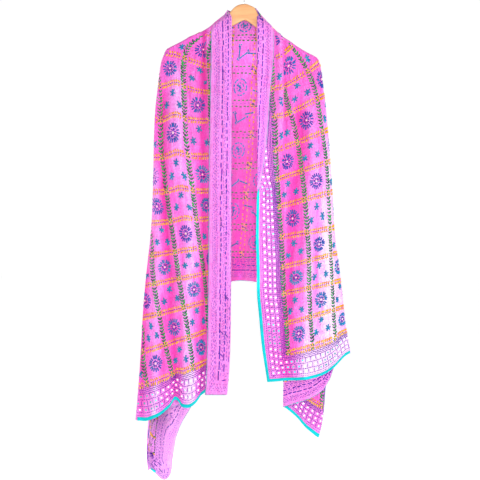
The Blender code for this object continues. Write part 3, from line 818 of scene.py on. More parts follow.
def clothMaterial(name, attribute, *shadedDyes):
    # cotton with uneven yarns both ways and fine puckers along the cloth; softly blotched dye, with painted shade
    # in the hollows of the puckers and crinkles, painted highlight on their crests, and the painted shade and
    # highlight of the attribute
    material, tree, shader = nodesOf(name)
    flat, place = clothPlace(tree), objectPlace(tree)
    pucker = noise(tree, place, (85, 40, 24), 3.0, Roughness=0.6, Distortion=0.5)
    crinkle = noise(tree, place, (330, 200, 190))
    plain = dyeAndPaintedShade["plain"] - 0.5 * dyeAndPaintedShade["pucker"] - 0.5 * dyeAndPaintedShade["crinkle"]
    dyeAndShade = sums(tree, readAttribute(tree, attribute), dyeAndPaintedShade["tone"], plain)
    # the pucker and crinkle heights that bump the cloth also pale its colour on their crests and deepen it in
    # their hollows, as painted shade and painted highlight
    dyeAndShade = sums(tree, pucker, dyeAndPaintedShade["pucker"], sums(tree, crinkle, dyeAndPaintedShade["crinkle"], dyeAndShade))
    colour = ramp(tree, dyeAndShade, *zip(dyeAndPaintedShade["stops"], shadedDyes))
    yarn = sums(tree, noise(tree, flat, (900, 26, 1)), noise(tree, flat, (26, 900, 1)))
    streak = ramp(tree, yarn, (0.78, (0.84, 0.74, 0.82)), (0.98, (1, 1, 1)), (1.2, (1.0, 1.0, 1.0)))
    weave = [waves(tree, flat, direction, Distortion=0.6, Detail=1.0) for direction in ("X", "Y")]
    crossed = addNode(tree, "ShaderNodeMath", {0: weave[0], 1: weave[1]}, operation="MULTIPLY").outputs[0]
    soft = bump(tree, sums(tree, crinkle, 0.45, pucker), 0.9, 0.008)
    setInputs(tree, shader, {
        "Base Color": mixed(tree, 0.9, colour, streak, "MULTIPLY"),
        "Normal": bump(tree, sums(tree, crossed, 0.6, yarn), 0.35, 0.0006, Normal=soft),
        "Roughness": 0.8, "Sheen Weight": 0.4, "Sheen Roughness": 0.45,
    })
    return material


def threadMaterial(name, dark, middle, light):
    # stranded thread: each stitch has its own tone, with fine lengthwise strands
    material, tree, shader = nodesOf(name)
    strand = noise(tree, objectPlace(tree), 1400.0, 1.0)
    colour = ramp(tree, readAttribute(tree, "tone"), (0.0, dark), (0.5, middle), (1.0, light))
    shade = ramp(tree, strand, (0.35, (0.8, 0.8, 0.8)), (0.6, (1, 1, 1)))
    setInputs(tree, shader, {
        "Base Color": mixed(tree, 0.7, colour, shade, "MULTIPLY"), "Normal": bump(tree, strand, 0.4, 0.0003),
        "Roughness": 0.6, "Sheen Weight": 0.05, "Specular IOR Level": 0.35,
    })
    return material


def finishPiece(name, mesh, *materials):
    # puts a mesh in the scene as one piece; a bmesh is made a mesh first
    if isinstance(mesh, bmesh.types.BMesh):
        bm, mesh = mesh, bpy.data.meshes.new(name)
        bm.to_mesh(mesh)
        bm.free()
    for material in materials:
        mesh.materials.append(material)
    piece = bpy.data.objects.new(name, mesh)
    bpy.context.scene.collection.objects.link(piece)
    return piece


def addWall(piece, thickness):
    wall = piece.modifiers.new("wall", "SOLIDIFY")
    wall.thickness, wall.offset = thickness / 1000, 0
    return wall


def gridPlaces(bm, columns, rows):
    # makes a grid, and gives each of its points with its column and row
    wide, high = columns - 1, rows - 1
    bmesh.ops.create_grid(bm, x_segments=wide, y_segments=high, size=0.5)
    bm.verts.index_update()
    return [(vert, round((vert.co.x + 0.5) * wide), round((vert.co.y + 0.5) * high)) for vert in bm.verts]


def setUv(bm, layer, places):
    for face in bm.faces:
        face.smooth = True
        for loop in face.loops:
            loop[layer].uv = places[loop.vert.index] / cloth["length"]


def makeCloth(made):
    whole = bmesh.new()
    whole.loops.layers.uv.new("clothUv")
    # 'tone' holds the painted shade and painted highlight of the right side, 'inner' the painted shade and painted
    # light of the wrong side
    for name in ("tone", "inner"):
        whole.verts.layers.float.new(name)
    for patch in made.values():
        inset = np.minimum(patch["uv"], (cloth["length"], cloth["width"]) - patch["uv"]).min(-1)
        # on top of the painted shade and highlight, the border is a paler colour of its own
        tone = patch["tone"] + 0.5 * rise((cloth["border"] - 2 - inset) / 4)
        bm = bmesh.new()
        uvLayer = bm.loops.layers.uv.new("clothUv")
        toneLayer, innerLayer = (bm.verts.layers.float.new(name) for name in ("tone", "inner"))
        places = {}
        for vert, i, j in gridPlaces(bm, *patch["s"].shape):
            places[vert.index] = patch["uv"][i, j]
            vert.co = patch["points"][i, j] / 1000
            vert[toneLayer], vert[innerLayer] = tone[i, j], patch["inner"][i, j]
        setUv(bm, uvLayer, places)
        if patch["flip"]:
            bmesh.ops.reverse_faces(bm, faces=bm.faces)
        mesh = bpy.data.meshes.new(patch["name"])
        bm.to_mesh(mesh)
        bm.free()
        whole.from_mesh(mesh)
        bpy.data.meshes.remove(mesh)
    bmesh.ops.remove_doubles(whole, verts=whole.verts, dist=0.0004)
    bmesh.ops.dissolve_degenerate(whole, edges=whole.edges, dist=0.0001)
    piece = finishPiece(
        "shawl_cloth", whole,
        # right side colours: painted shade, the plain dye, painted highlight on the crests, painted glare where
        # the strong light falls
        clothMaterial(
            "pinkCotton", "tone", (0.84, 0.03, 0.40), (0.85, 0.11, 0.58), (0.85, 0.29, 0.80), (0.90, 0.62, 0.88),
        ),
        # wrong side colours, from the painted shade inside the back through the plain dye to the painted light on
        # the foot
        clothMaterial(
            "pinkCottonReverse", "inner",
            (0.84, 0.06, 0.50), (0.80, 0.22, 0.71), (0.82, 0.36, 0.80), (0.87, 0.5, 0.85),
        ),
    )
    addWall(piece, cloth["wall"]).material_offset = 1
    return piece


shawl = makeCloth(made)
print("cloth made", len(shawl.data.polygons), "faces")


search = {"neighbours": 4, "closeEnough": 0.3, "steps": 6, "longestStep": 2, "flattest": 1e-3}


def placeFinder(made):
    # finds the point of the hanging cloth, and its normal, at any place of the flat cloth
    patches = list(made.values())
    tree = kdtree.KDTree(sum(patch["s"].size for patch in patches))
    number = 0
    starts = []
    for patch in patches:
        starts.append(number)
        for u, v in patch["uv"].reshape(-1, 2):
            tree.insert((u, v, 0), number)
            number += 1
    tree.balance()
    starts = np.array(starts)

    def spread(grid, fi, fj):
        i, j = np.minimum(fi.astype(int), grid.shape[0] - 2), np.minimum(fj.astype(int), grid.shape[1] - 2)
        a, b = (fi - i)[:, None], (fj - j)[:, None]
        p00, p10, p01, p11 = grid[i, j], grid[i + 1, j], grid[i, j + 1], grid[i + 1, j + 1]
        value = (p00 * (1 - a) + p10 * a) * (1 - b) + (p01 * (1 - a) + p11 * a) * b
        return value, (p10 - p00) * (1 - b) + (p11 - p01) * b, (p01 - p00) * (1 - a) + (p11 - p10) * a

    def solve(patch, wanted, fi, fj):
        limit, flattest = search["longestStep"], search["flattest"]
        for _ in range(search["steps"]):
            uv, alongI, alongJ = spread(patch["uv"], fi, fj)
            miss = wanted - uv
            det = alongI[:, 0] * alongJ[:, 1] - alongI[:, 1] * alongJ[:, 0]
            det = np.where(abs(det) < flattest, np.where(det < 0, -flattest, flattest), det)
            di = (miss[:, 0] * alongJ[:, 1] - miss[:, 1] * alongJ[:, 0]) / det
            dj = (alongI[:, 0] * miss[:, 1] - alongI[:, 1] * miss[:, 0]) / det
            fi = np.clip(fi + np.clip(di, -limit, limit), 0, patch["s"].shape[0] - 1)
            fj = np.clip(fj + np.clip(dj, -limit, limit), 0, patch["s"].shape[1] - 1)
        uv, _, _ = spread(patch["uv"], fi, fj)
        return fi, fj, np.linalg.norm(wanted - uv, axis=1)

    def find(wanted):
        wanted = np.clip(np.asarray(wanted, float), 0, (cloth["length"], cloth["width"]))
        best = np.full(len(wanted), 1e9)
        point, normal = np.zeros((len(wanted), 3)), np.zeros((len(wanted), 3))
        nearest = [tree.find_n((u, v, 0), search["neighbours"]) for u, v in wanted]
        owners = np.array([[found[1] for found in row] for row in nearest])
        owner = np.searchsorted(starts, owners, side="right") - 1
        for turn in range(search["neighbours"]):
            fresh = best > search["closeEnough"]
            for other in range(turn):
                fresh &= owner[:, turn] != owner[:, other]
            for number, patch in enumerate(patches):
                chosen = np.nonzero(fresh & (owner[:, turn] == number))[0]
                if not len(chosen):
                    continue
                local = owners[chosen, turn] - starts[number]
                rows = patch["s"].shape[1]
                fi, fj = (local // rows).astype(float), (local % rows).astype(float)
                fi, fj, miss = solve(patch, wanted[chosen], fi, fj)
                better = miss < best[chosen]
                chosen, fi, fj = chosen[better], fi[better], fj[better]
                best[chosen] = miss[better]
                point[chosen] = spread(patch["points"], fi, fj)[0]
                normal[chosen] = spread(patch["normal"], fi, fj)[0]
        return point, normal / np.maximum(np.linalg.norm(normal, axis=1, keepdims=True), 1e-6), best

    return find


findPlace = placeFinder(made)
rng = np.random.default_rng(7)


def shapeOf(bm):
    # points and faces of a shape that is stamped many times
    shape = np.array([v.co for v in bm.verts]), np.array([[v.index for v in f.verts] for f in bm.faces])
    bm.free()
    return shape


def unitStitch():
    # a floss stitch: flat below, ridged above, blunt at both ends
    bm = bmesh.new()
    bmesh.ops.create_uvsphere(bm, u_segments=3, v_segments=3, radius=1)
    bmesh.ops.triangulate(bm, faces=bm.faces)
    for vert in bm.verts:
        if abs(vert.co.z) < 0.99:
            turn = round(math.atan2(vert.co.y, vert.co.x) / (2 * math.pi / 3))
            vert.co = (*((1, -0.1), (0, 1.0), (-1, -0.1))[turn % 3], math.copysign(0.8, vert.co.z))
    return shapeOf(bm)


stitch = {
    # a stitch longer than this is made of several, which overlap
    "longest": 6.5, "overlap": 1.08,
    # height for its width, its distance off the cloth, and how much it crowns over its middle
    "thick": 0.5, "clear": 0.15, "crown": 0.5, "crownWidth": 1.6, "bow": 3,
    # how far its ends may be off their places, and how much the cloth may shorten or lengthen it
    "miss": 2, "shortest": 0.25, "stretch": 2.6,
}
unseen = {
    # the depth of a pleat, and the cloth behind the turned lower corner at the left
    "pleatHalf": 1.7, "pleatFrom": 120, "pleatTo": {"left": 330, "right": 520},
    "cornerDrop": 1230, "cornerX": -180, "cornerY": -25, "cornerFacing": 0.35,
    # the inside of the turn of a lapel, for a stitch and for a mirror
    "turnForStitch": 5, "turnForMirror": 7,
}


def shortened(rows):
    # long floats become several, so that each follows the cloth
    for u, v, du, dv, width, tone in rows:
        count = max(1, math.ceil(math.hypot(du, dv) / stitch["longest"]))
        for k in range(count):
            share = (2 * k + 1) / count - 1
            half = du / count * stitch["overlap"], dv / count * stitch["overlap"]
            yield u + du * share, v + dv * share, *half, width, tone


def hidden(point, normal, turnReach):
    # places where nothing sewn on would be seen
    x, y, drop = point[:, 0], point[:, 1], -point[:, 2]
    away = (drop > unseen["cornerDrop"]) & (x < unseen["cornerX"]) & (y > unseen["cornerY"])
    away &= normal[:, 1] < unseen["cornerFacing"]
    for side, half in halves.items():
        fromPleat = atPleat(side, x, drop)[0] + 0.2
        pleat = (drop > unseen["pleatFrom"]) & (drop < unseen["pleatTo"][side])
        away |= (abs(fromPleat) < unseen["pleatHalf"]) & pleat & (y < 0)
        away |= (abs(x - follow(half["fold"], drop)) < turnReach) & (drop < half["lapelEnd"] - 4) & (y < 0)
    return away


def stamp(name, points, faces, paintedShadeAndLight):
    # one mesh of many like shapes, each with its own tone
    total, corners = points.shape[:2]
    mesh = bpy.data.meshes.new(name)
    every = (np.arange(total)[:, None, None] * corners + faces[None]).reshape(-1, 3)
    mesh.from_pydata((points.reshape(-1, 3) / 1000).tolist(), [], every.tolist())
    mesh.attributes.new("tone", "FLOAT", "POINT").data.foreach_set("value", np.repeat(paintedShadeAndLight, corners))
    print(name, total, "pieces,", len(every), "triangles")
    return mesh


def lengths(vectors):
    return np.linalg.norm(vectors, axis=1, keepdims=True)


def sewStitches(name, rows, material, facing=1):
    # rows: u, v, half du, half dv, width, tone. Each stitch follows the cloth under it.
    rows = np.array(list(shortened(rows)), float)
    centre, half = rows[:, :2], rows[:, 2:4]
    point, normal, miss = findPlace(np.concatenate([centre - half, centre, centre + half]))
    a, m, b = np.split(point, 3)
    n = sum(np.split(normal, 3))
    n *= facing / lengths(n)
    length, wanted = lengths(b - a)[:, 0], 2 * lengths(half)[:, 0]
    good = np.all([part < stitch["miss"] for part in np.split(miss, 3)], axis=0)
    good &= (length > stitch["shortest"] * wanted) & (length < stitch["stretch"] * wanted + 2)
    if facing == 1:
        good &= ~hidden(m, n, unseen["turnForStitch"])
    a, m, b, n, rows = (values[good] for values in (a, m, b, n, rows))
    chord, middle, width = b - a, (a + b) / 2, rows[:, None, 4:5]
    bow = m - middle
    bow *= np.minimum(1, stitch["bow"] / np.maximum(lengths(bow), 1e-6))
    side = np.cross(n, chord)
    side /= np.maximum(lengths(side), 1e-6)
    shape, faces = unitStitch()
    along = shape[None, :, 2:3]
    crown = stitch["crown"] * (1 - along ** 2) * np.minimum(1, width / stitch["crownWidth"])
    lift = cloth["wall"] / 2 + stitch["clear"] + crown
    path = (middle + bow)[:, None] + along * (chord / 2)[:, None] - along ** 2 * bow[:, None]
    points = (
        path
        + side[:, None] * shape[None, :, 0:1] * width / 2
        + n[:, None] * (lift + shape[None, :, 1:2] * stitch["thick"] * width / 2)
    )
    mesh = stamp(name, points, faces, rows[:, 5])
    mesh.polygons.foreach_set("use_smooth", np.ones(len(mesh.polygons), bool))
    bm = bmesh.new()
    bm.from_mesh(mesh)
    bmesh.ops.recalc_face_normals(bm, faces=bm.faces)
    bm.to_mesh(mesh)
    bm.free()
    piece = finishPiece(name, mesh, material)
    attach(piece, "root")
    return piece


threads = {name: threadMaterial(f"{name}Thread", *paintedShadeAndLight) for name, *paintedShadeAndLight in (
    ("green", (0.003, 0.08, 0.03), (0.004, 0.25, 0.05), (0.008, 0.50, 0.06)),
    ("orange", (0.90, 0.26, 0.0), (1.0, 0.43, 0.002), (1.0, 0.64, 0.006)),
    ("purple", (0.04, 0.004, 0.25), (0.11, 0.01, 0.46), (0.25, 0.03, 0.62)),
    ("blue", (0.035, 0.035, 0.43), (0.009, 0.15, 0.50), (0.002, 0.30, 0.56)),
    ("teal", (0.004, 0.12, 0.36), (0.003, 0.22, 0.46), (0.008, 0.42, 0.60)),
    ("pale", (0.55, 0.62, 0.35), (0.85, 0.85, 0.62), (0.95, 0.95, 0.85)),
)}


def vary(amount=0.2):
    return float(np.clip(0.5 + rng.normal() * amount, 0, 1))


def jitter(amount):
    return rng.normal() * amount


def ray(rows, thread, u, v, angle, near, far, width, tone):
    # a stitch that points away from u, v
    r, half = (near + far) / 2, (far - near) / 2
    c, s = math.cos(angle), math.sin(angle)
    rows[thread].append((u + r * c, v + r * s, half * c, half * s, width, float(np.clip(tone, 0, 1))))


def gridUv(i, k):
    return cloth["border"] + cloth["cellLong"] * i, cloth["border"] + cloth["cellWide"] * k


flowers = {
    "petals": 18, "radius": 24.5, "inside": 13.0, "petalWidth": 4.1,
    "ring": 10, "ringInside": 4.6, "ringRadius": 11.2, "ringWidth": 3.0, "eye": 2.4, "eyeWidth": 1.9,
    # rings on the wrong side: count, wobble, radius, half length, width, lean
    "wrong": ((13, 0.15, 22.5, 3.9, 3.9, 0), (7, 0.2, 11.5, 3, 3.6, 1)), "tangle": 4,
}
# the three stars of a cell on each side of the cloth, as places from its middle
stars = {
    "spokes": 6, "radius": 10.8, "width": 4.2,
    "right": ((21, -3), (-11, 20), (-14, -25)), "wrong": ((21, 0), (-11, 20), (-14, -20)),
}
lines = {
    # distance of each pair of stitches from its line, half their reach, what is left free round a crossing
    "greenPitch": 9.0, "greenWidth": 4.1, "greenOff": 4.7, "greenReach": (3.5, 3.8), "greenGap": 8,
    "orangePitch": 7.9, "orangeWidth": 3.8, "orangeOff": 5.0, "orangeReach": (3.3, 2.1), "orangeGap": 9,
    "runWidth": 2.4, "runHalf": (2.6, 2.4), "loosePitch": (14.5, 15.5), "looseOff": (9, 7), "looseWidth": 3.7,
}
borderRuns = (
    # on the right side: inset, pitch, half length, width, tone
    (13.5, 6.5, 2.1, 1.4, 0.85), (20, 6.5, 2.3, 2.0, 0.55), (35, 6.5, 2.4, 2.2, 0.45), (50.5, 6.5, 2.4, 2.2, 0.45),
    (64, 6.2, 2.5, 2.2, 0.35), (68, 6.4, 2.5, 2.2, 0.5), (72, 6.2, 2.6, 2.4, 0.3), (76, 6.3, 2.5, 2.2, 0.45),
    (79.5, 6.5, 2.4, 1.9, 0.6),
)
catchRuns = (
    # the same on the wrong side
    (12, 8, 2.1, 1.5, 0.8), (16.5, 8, 2.0, 1.6, 0.75), (21, 8, 2.1, 1.7, 0.7), (25.5, 9, 2.2, 1.5, 0.8),
    (35, 18, 6.6, 3.5, 0.38), (42, 8.5, 2.1, 1.5, 0.8), (46, 9, 2.2, 1.6, 0.75), (50.5, 17.5, 6.2, 3.3, 0.4),
    (57, 8.5, 2.2, 1.6, 0.75), (64, 15, 4.6, 2.1, 0.55), (70, 10, 2.6, 1.8, 0.65), (77, 15, 4.8, 2.5, 0.45),
)
mirrors = {
    "rows": (27.5, 42.8, 58.2), "pitch": 20.0, "size": 5.4, "high": 0.8, "ringHalf": 5.0, "ringWidth": 1.7,
    # sides of the outline, how round it is, and the worn rim as shares of the size and the height
    "sides": 8, "roundness": 0.62, "rim": 0.1, "rimHigh": 0.55,
}


def cells():
    # the motifs alternate over the field, and the rule turns round on a stretch of five cells
    for i in range(cloth["cellsLong"]):
        for k in range(cloth["cellsWide"]):
            odd = (i + k) % 2 == 1
            yield i, *gridUv(i + 0.5, k + 0.5), (not odd if 6 <= i <= 10 else odd)


def crossings():
    for i in range(cloth["cellsLong"] + 1):
        for k in range(cloth["cellsWide"] + 1):
            yield gridUv(i, k)


def alongLines(way, first, pitch, gap=0):
    # places along all the lines of one way, leaving a gap round the crossings
    cell, other = (cloth["cellLong"], "cellsWide") if way == "long" else (cloth["cellWide"], "cellsLong")
    ends = gridUv(cloth["cellsLong"], cloth["cellsWide"])
    for k in range(cloth[other] + 1):
        line = gridUv(k, k)[1 if way == "long" else 0]
        for at in np.arange(cloth["border"] + first, ends[0 if way == "long" else 1], pitch):
            if abs((at - cloth["border"] + cell / 2) % cell - cell / 2) >= gap:
                yield at, line


def alongBorder(runs, first):
    # places of running stitches round the border; turned ones run across the cloth
    length, width = cloth["length"], cloth["width"]
    for inset, step, *kind in runs:
        for turned, start, run, far in ((False, step * first, length, width), (True, step, width, length)):
            for at in np.arange(inset + start, run - inset, step):
                for edge in (inset, far - inset):
                    yield turned, at, edge, *kind


def around(count, wobble, tilt):
    # directions spread round a motif
    for k in range(count):
        yield k, 2 * math.pi * (k + jitter(wobble)) / count + tilt


def flower(rows, u, v, tilt, bluish):
    for _, angle in around(flowers["petals"], 0.12, tilt):
        far, near = flowers["radius"] + jitter(1.0), flowers["inside"] + jitter(0.6)
        ray(rows, "blue", u, v, angle, near, far, flowers["petalWidth"], bluish + jitter(0.16))
    for k, angle in around(flowers["ring"], 0.15, tilt * 2):
        thread, far = "purple" if k % 3 else "blue", flowers["ringRadius"] + jitter(0.6)
        ray(rows, thread, u, v, angle, flowers["ringInside"], far, flowers["ringWidth"], 0.3 + jitter(0.2))
    for k in range(3):
        ray(rows, "pale", u, v, math.pi * k / 3 + tilt, -flowers["eye"], flowers["eye"], flowers["eyeWidth"], 0.5)


def star(rows, u, v, tilt):
    for _, angle in around(stars["spokes"], 0.1, tilt):
        ray(rows, "teal", u, v, angle, 0.8, stars["radius"] + jitter(0.8), stars["width"], 0.5 + jitter(0.2))


def starPlaces(i, u, v, side, amount):
    up = 1 if i < cloth["cellsLong"] / 2 else -1
    for du, dv in stars[side]:
        yield u + du * up + jitter(amount), v + dv + jitter(amount)


def rightSide():
    rows = {name: [] for name in threads}
    for i, u, v, odd in cells():
        u, v = u + jitter(1.5), v + jitter(1.5)
        if not odd:
            flower(rows, u, v, rng.uniform(0, 6), rng.uniform(0.1, 0.9))
        else:
            for place in starPlaces(i, u, v, "right", 2):
                star(rows, *place, rng.uniform(0, 6))
    along, across = lines["greenReach"]
    for at, v in alongLines("long", 4, lines["greenPitch"], lines["greenGap"]):
        down = -1 if at < cloth["length"] / 2 else 1
        for way in (-1, 1):
            lean = jitter(0.5)
            place = at + down * 0.5 + jitter(0.6), v + way * (lines["greenOff"] + jitter(0.4))
            reach = down * (along + lean), -way * (across + jitter(0.35))
            rows["green"].append((*place, *reach, lines["greenWidth"] + jitter(0.3), vary(0.27)))
        run = at, v + jitter(0.3), lines["runHalf"][0], 0
        rows["purple"].append((*run, lines["runWidth"] * 0.85, vary(0.15) * 0.5))
    across, along = lines["orangeReach"]
    for at, u in alongLines("wide", 4, lines["orangePitch"], lines["orangeGap"]):
        for way in (-1, 1):
            place = u + way * (lines["orangeOff"] + jitter(0.4)), at + jitter(0.5)
            reach = way * (across + jitter(0.3)), along + jitter(0.3)
            rows["orange"].append((*place, *reach, lines["orangeWidth"], vary(0.3)))
        rows["purple"].append((u + jitter(0.3), at, 0, lines["runHalf"][1], lines["runWidth"] * 0.8, vary(0.2)))
    for u, v in crossings():
        for step in range(8):
            thread, angle = "green" if step % 2 else "orange", math.pi * step / 4 + jitter(0.08)
            ray(rows, thread, u, v, angle, 2.0, 9.0, 3.4, 0.5 + jitter(0.2))
        for step in range(3):
            ray(rows, "pale", u, v, 2 * math.pi * step / 3 + jitter(0.4), 2.0, 5.4, 2.2, 0.5)
    for turned, at, edge, dash, wide, tone in alongBorder(borderRuns, 0):
        edge += jitter(0.3)
        place, reach = ((edge, at), (0, dash)) if turned else ((at, edge), (dash, 0))
        rows["purple"].append((*place, *reach, wide, tone + jitter(0.12)))
    for u, v, turned, _ in mirrorPlaces():
        for way in (-1, 1):
            half = way * mirrors["pitch"] / 2
            place = (u, v + half) if turned else (u + half, v)
            reach = (mirrors["ringHalf"], 0) if turned else (0, mirrors["ringHalf"])
            rows["purple"].append((*place, *reach, mirrors["ringWidth"], 0.55))
    return rows


def mirrorPlaces():
    # u, v, whether the row runs across the cloth, tone
    length, width, pitch = cloth["length"], cloth["width"], mirrors["pitch"]
    for inset in mirrors["rows"]:
        along = length - 2 * inset
        count = round(along / pitch)
        for k in range(count + 1):
            for v in (inset, width - inset):
                yield inset + along * k / count, v, False, mirrorTone(k)
        along = width - 2 * inset
        count = round(along / pitch)
        for k in range(1, count):
            for u in (inset, length - inset):
                yield u, inset + along * k / count, True, mirrorTone(k + 3)


def mirrorTone(k):
    # runs of mirrors look alike, with changes every few
    wave = math.sin(k * 0.83) + 0.7 * math.sin(k * 0.31 + 1.3)
    return float(np.clip(0.5 + 0.33 * wave, 0, 1))


def catchRing(rows, u, v, tilt, count, wobble, radius, half, width, lean):
    # short stitches round a ring, where a flower's petals turn on the wrong side
    for _, angle in around(count, wobble, tilt):
        c, s = math.cos(angle), math.sin(angle)
        reach = (-half * s + jitter(lean), half * c + jitter(lean)) if lean else (-half * s, half * c)
        rows["blue"].append((u + radius * c, v + radius * s, *reach, width, 0.9 + jitter(0.2)))


def wrongSide():
    # the underside: short catches, long floats between motifs, and some knots
    rows = {name: [] for name in threads}
    length, width = cloth["length"], cloth["width"]
    for i, u, v, odd in cells():
        u, v = u + jitter(2), v + jitter(2)
        if not odd:
            tilt = rng.uniform(0, 6)
            for ring in flowers["wrong"]:
                catchRing(rows, u, v, tilt, *ring)
            for _ in range(flowers["tangle"]):
                place, reach = (u + jitter(3.5), v + jitter(3.5)), (jitter(4), jitter(4))
                rows["teal"].append((*place, *reach, 4.6, 0.4 + jitter(0.2)))
            rows["purple"].append((u + jitter(3), v + jitter(3), jitter(3), 3, 1.9, 0.3))
        else:
            up = 1 if i < cloth["cellsLong"] / 2 else -1
            spots = list(starPlaces(i, u, v, "wrong", 3))
            for (u0, v0), (u1, v1) in zip(spots, spots[1:]):
                row = (u0 + u1) / 2, (v0 + v1) / 2, (u1 - u0) * 0.42, (v1 - v0) * 0.42
                rows["teal"].append((*row, 4.3, 0.5 + jitter(0.2)))
            for su, sv in spots:
                for _ in range(4):
                    angle, far = rng.uniform(0, 6.3), 6.4 + jitter(1)
                    ray(rows, "teal", su, sv, angle, 1.5, far, 4.0, 0.5 + jitter(0.25))
            if rng.uniform() < 0.6:
                rows["teal"].append((u + 34 * up, v + jitter(8), 15, jitter(3), 4.2, 0.55))
    greenPitch, orangePitch = lines["loosePitch"]
    for at, v in alongLines("long", 6, greenPitch):
        for way in (-1, 1):
            place = at + way * 3 + jitter(1.2), v + way * lines["looseOff"][0] + jitter(0.6)
            rows["green"].append((*place, 3.9, 0, lines["looseWidth"], 0.5 + jitter(0.25)))
        rows["purple"].append((at + 5, v + jitter(0.5), 2.2, 0, 1.7, 0.6))
    for at, u in alongLines("wide", 6, orangePitch):
        for way in (-1, 1):
            place = u + way * lines["looseOff"][1] + jitter(0.6), at + way * 3.5 + jitter(1.2)
            rows["orange"].append((*place, 0, 3.5, lines["looseWidth"], 0.5 + jitter(0.25)))
    for u, v in crossings():
        for way in (-1, 1):
            rows["orange"].append((u + jitter(1), v + way * 7, jitter(1.5), 5, 3.8, 0.8 + jitter(0.2)))
        rows["green"].append((u + 5 + jitter(1), v + 4 + jitter(1), 3, 3, 3.4, 0.4))
        rows["purple"].append((u - 5 + jitter(2), v + jitter(3), 2.4, 1.6, 5.0, 0.0))
    for turned, at, edge, dash, wide, tone in alongBorder(catchRuns, 0.4):
        if turned:
            row = edge + jitter(0.8), at + jitter(1), jitter(0.4), dash * (1 + jitter(0.15))
        else:
            row = at + jitter(1), edge + jitter(0.8), dash * (1 + jitter(0.15)), jitter(0.4)
        rows["purple"].append((*row, wide, tone + jitter(0.15)))
    for _ in range(34):  # thread ends left hanging as little ticks
        u, v = rng.uniform(60, length - 60), rng.choice((35.0, 50.5, width - 35.0, width - 50.5))
        rows["purple"].append((u, v, 2.6, 2.2, 2.9, 0.1))
        rows["purple"].append((u - 4.5, v + 5.5, -3.6, 4.2, 2.2, 0.3))
    return rows


rows = rightSide()
sewn = [sewStitches(f"{name}_stitches", rows[name], threads[name]) for name in rows]
print("right side sewn")
rows = wrongSide()
sewn += [sewStitches(f"{name}_floats", rows[name], threads[name], facing=-1) for name in rows if rows[name]]
print("wrong side sewn")


def frames(places):
    # point, right side normal and the direction of growing u at places of the flat cloth
    places = np.array(places, float)
    point, normal, _ = findPlace(np.concatenate([places, places + (3, 0), places - (3, 0)]))
    (point, ahead, behind), normal = np.split(point, 3), np.split(normal, 3)[0]
    along = ahead - behind
    along -= normal * (along * normal).sum(1, keepdims=True)
    return point, normal, along / np.maximum(lengths(along), 1e-6)


def mirrorMaterial():
    # little foil mirrors: silver, with some that take a sea blue or a deep blue tint
    material, tree, shader = nodesOf("mirrorFoil")
    scuff = noise(tree, objectPlace(tree), 260.0, 3.0)
    colour = ramp(
        tree, readAttribute(tree, "tone"), (0.0, (0.06, 0.30, 0.36)), (0.16, (0.20, 0.50, 0.52)),
        (0.28, (0.10, 0.78, 0.82)), (0.38, (0.55, 0.90, 0.90)), (0.48, (0.97, 0.98, 0.97)), (1.0, (1, 1, 1)),
    )
    rub = ramp(tree, scuff, (0.35, (0.82, 0.84, 0.86)), (0.55, (1, 1, 1)))
    setInputs(tree, shader, {
        "Base Color": mixed(tree, 0.6, colour, rub, "MULTIPLY"), "Normal": bump(tree, scuff, 0.2, 0.0002),
        "Metallic": 0.3, "Roughness": 0.22,
    })
    return material


def extrude(bm, by):
    added = bmesh.ops.extrude_face_region(bm, geom=list(bm.faces))["geom"]
    bmesh.ops.translate(bm, vec=by, verts=[v for v in added if isinstance(v, bmesh.types.BMVert)])


def makeMirrors():
    bm = bmesh.new()
    bmesh.ops.create_circle(bm, cap_ends=True, cap_tris=False, segments=mirrors["sides"], radius=0.5)
    for vert in bm.verts:
        vert.co.xy = [math.copysign(abs(c * 2) ** mirrors["roundness"], c) * 0.5 for c in vert.co.xy]
    bmesh.ops.rotate(bm, verts=bm.verts, matrix=Matrix.Rotation(math.pi / mirrors["sides"], 3, "Z"))
    extrude(bm, (0, 0, 1))
    cap = [f for f in bm.faces if f.calc_center_median().z > 0.99]
    bmesh.ops.inset_region(bm, faces=cap, thickness=mirrors["rim"], depth=0)
    for vert in bm.verts:
        if vert.co.z > 0.9 and vert.co.xy.length > 0.48:
            vert.co.z = mirrors["rimHigh"]
    bmesh.ops.recalc_face_normals(bm, faces=bm.faces)
    bmesh.ops.triangulate(bm, faces=bm.faces)
    shape, faces = shapeOf(bm)
    # the faces come in the same order at every run
    faces = np.array(sorted(min(face[k:] + face[:k] for k in range(3)) for face in faces.tolist()))
    places = np.array(list(mirrorPlaces()), float)
    point, normal, along = frames(places[:, :2])
    shown = ~hidden(point, normal, unseen["turnForMirror"])
    places, point, normal, along = (values[shown] for values in (places, point, normal, along))
    side = np.cross(normal, along)
    size, high = mirrors["size"], mirrors["high"]
    points = (
        point[:, None] + along[:, None] * shape[None, :, :1] * size + side[:, None] * shape[None, :, 1:2] * size
        + normal[:, None] * (cloth["wall"] / 2 + 0.1 + shape[None, :, 2:] * high)
    )
    mesh = stamp("mirrors", points, faces, places[:, 3])
    piece = finishPiece("mirrors", mesh, mirrorMaterial())
    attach(piece, "root")
    return piece


def bindingMaterial():
    # ribbed tape, a little blotched
    material, tree, shader = nodesOf("turquoiseBinding")
    soft = noise(tree, objectPlace(tree), 30.0)
    rib = waves(tree, clothPlace(tree), "DIAGONAL", Distortion=0.5)
    colour = ramp(tree, soft, (0.3, (0.0, 0.42, 0.46)), (0.7, (0.0, 0.58, 0.62)))
    shade = ramp(tree, rib, (0.0, (0.85, 0.9, 0.9)), (0.4, (1, 1, 1)))
    setInputs(tree, shader, {
        "Base Color": mixed(tree, 0.5, colour, shade, "MULTIPLY"), "Normal": bump(tree, rib, 0.3, 0.0004),
        "Roughness": 0.7, "Specular IOR Level": 0.15, "Sheen Weight": 0.03,
    })
    return material


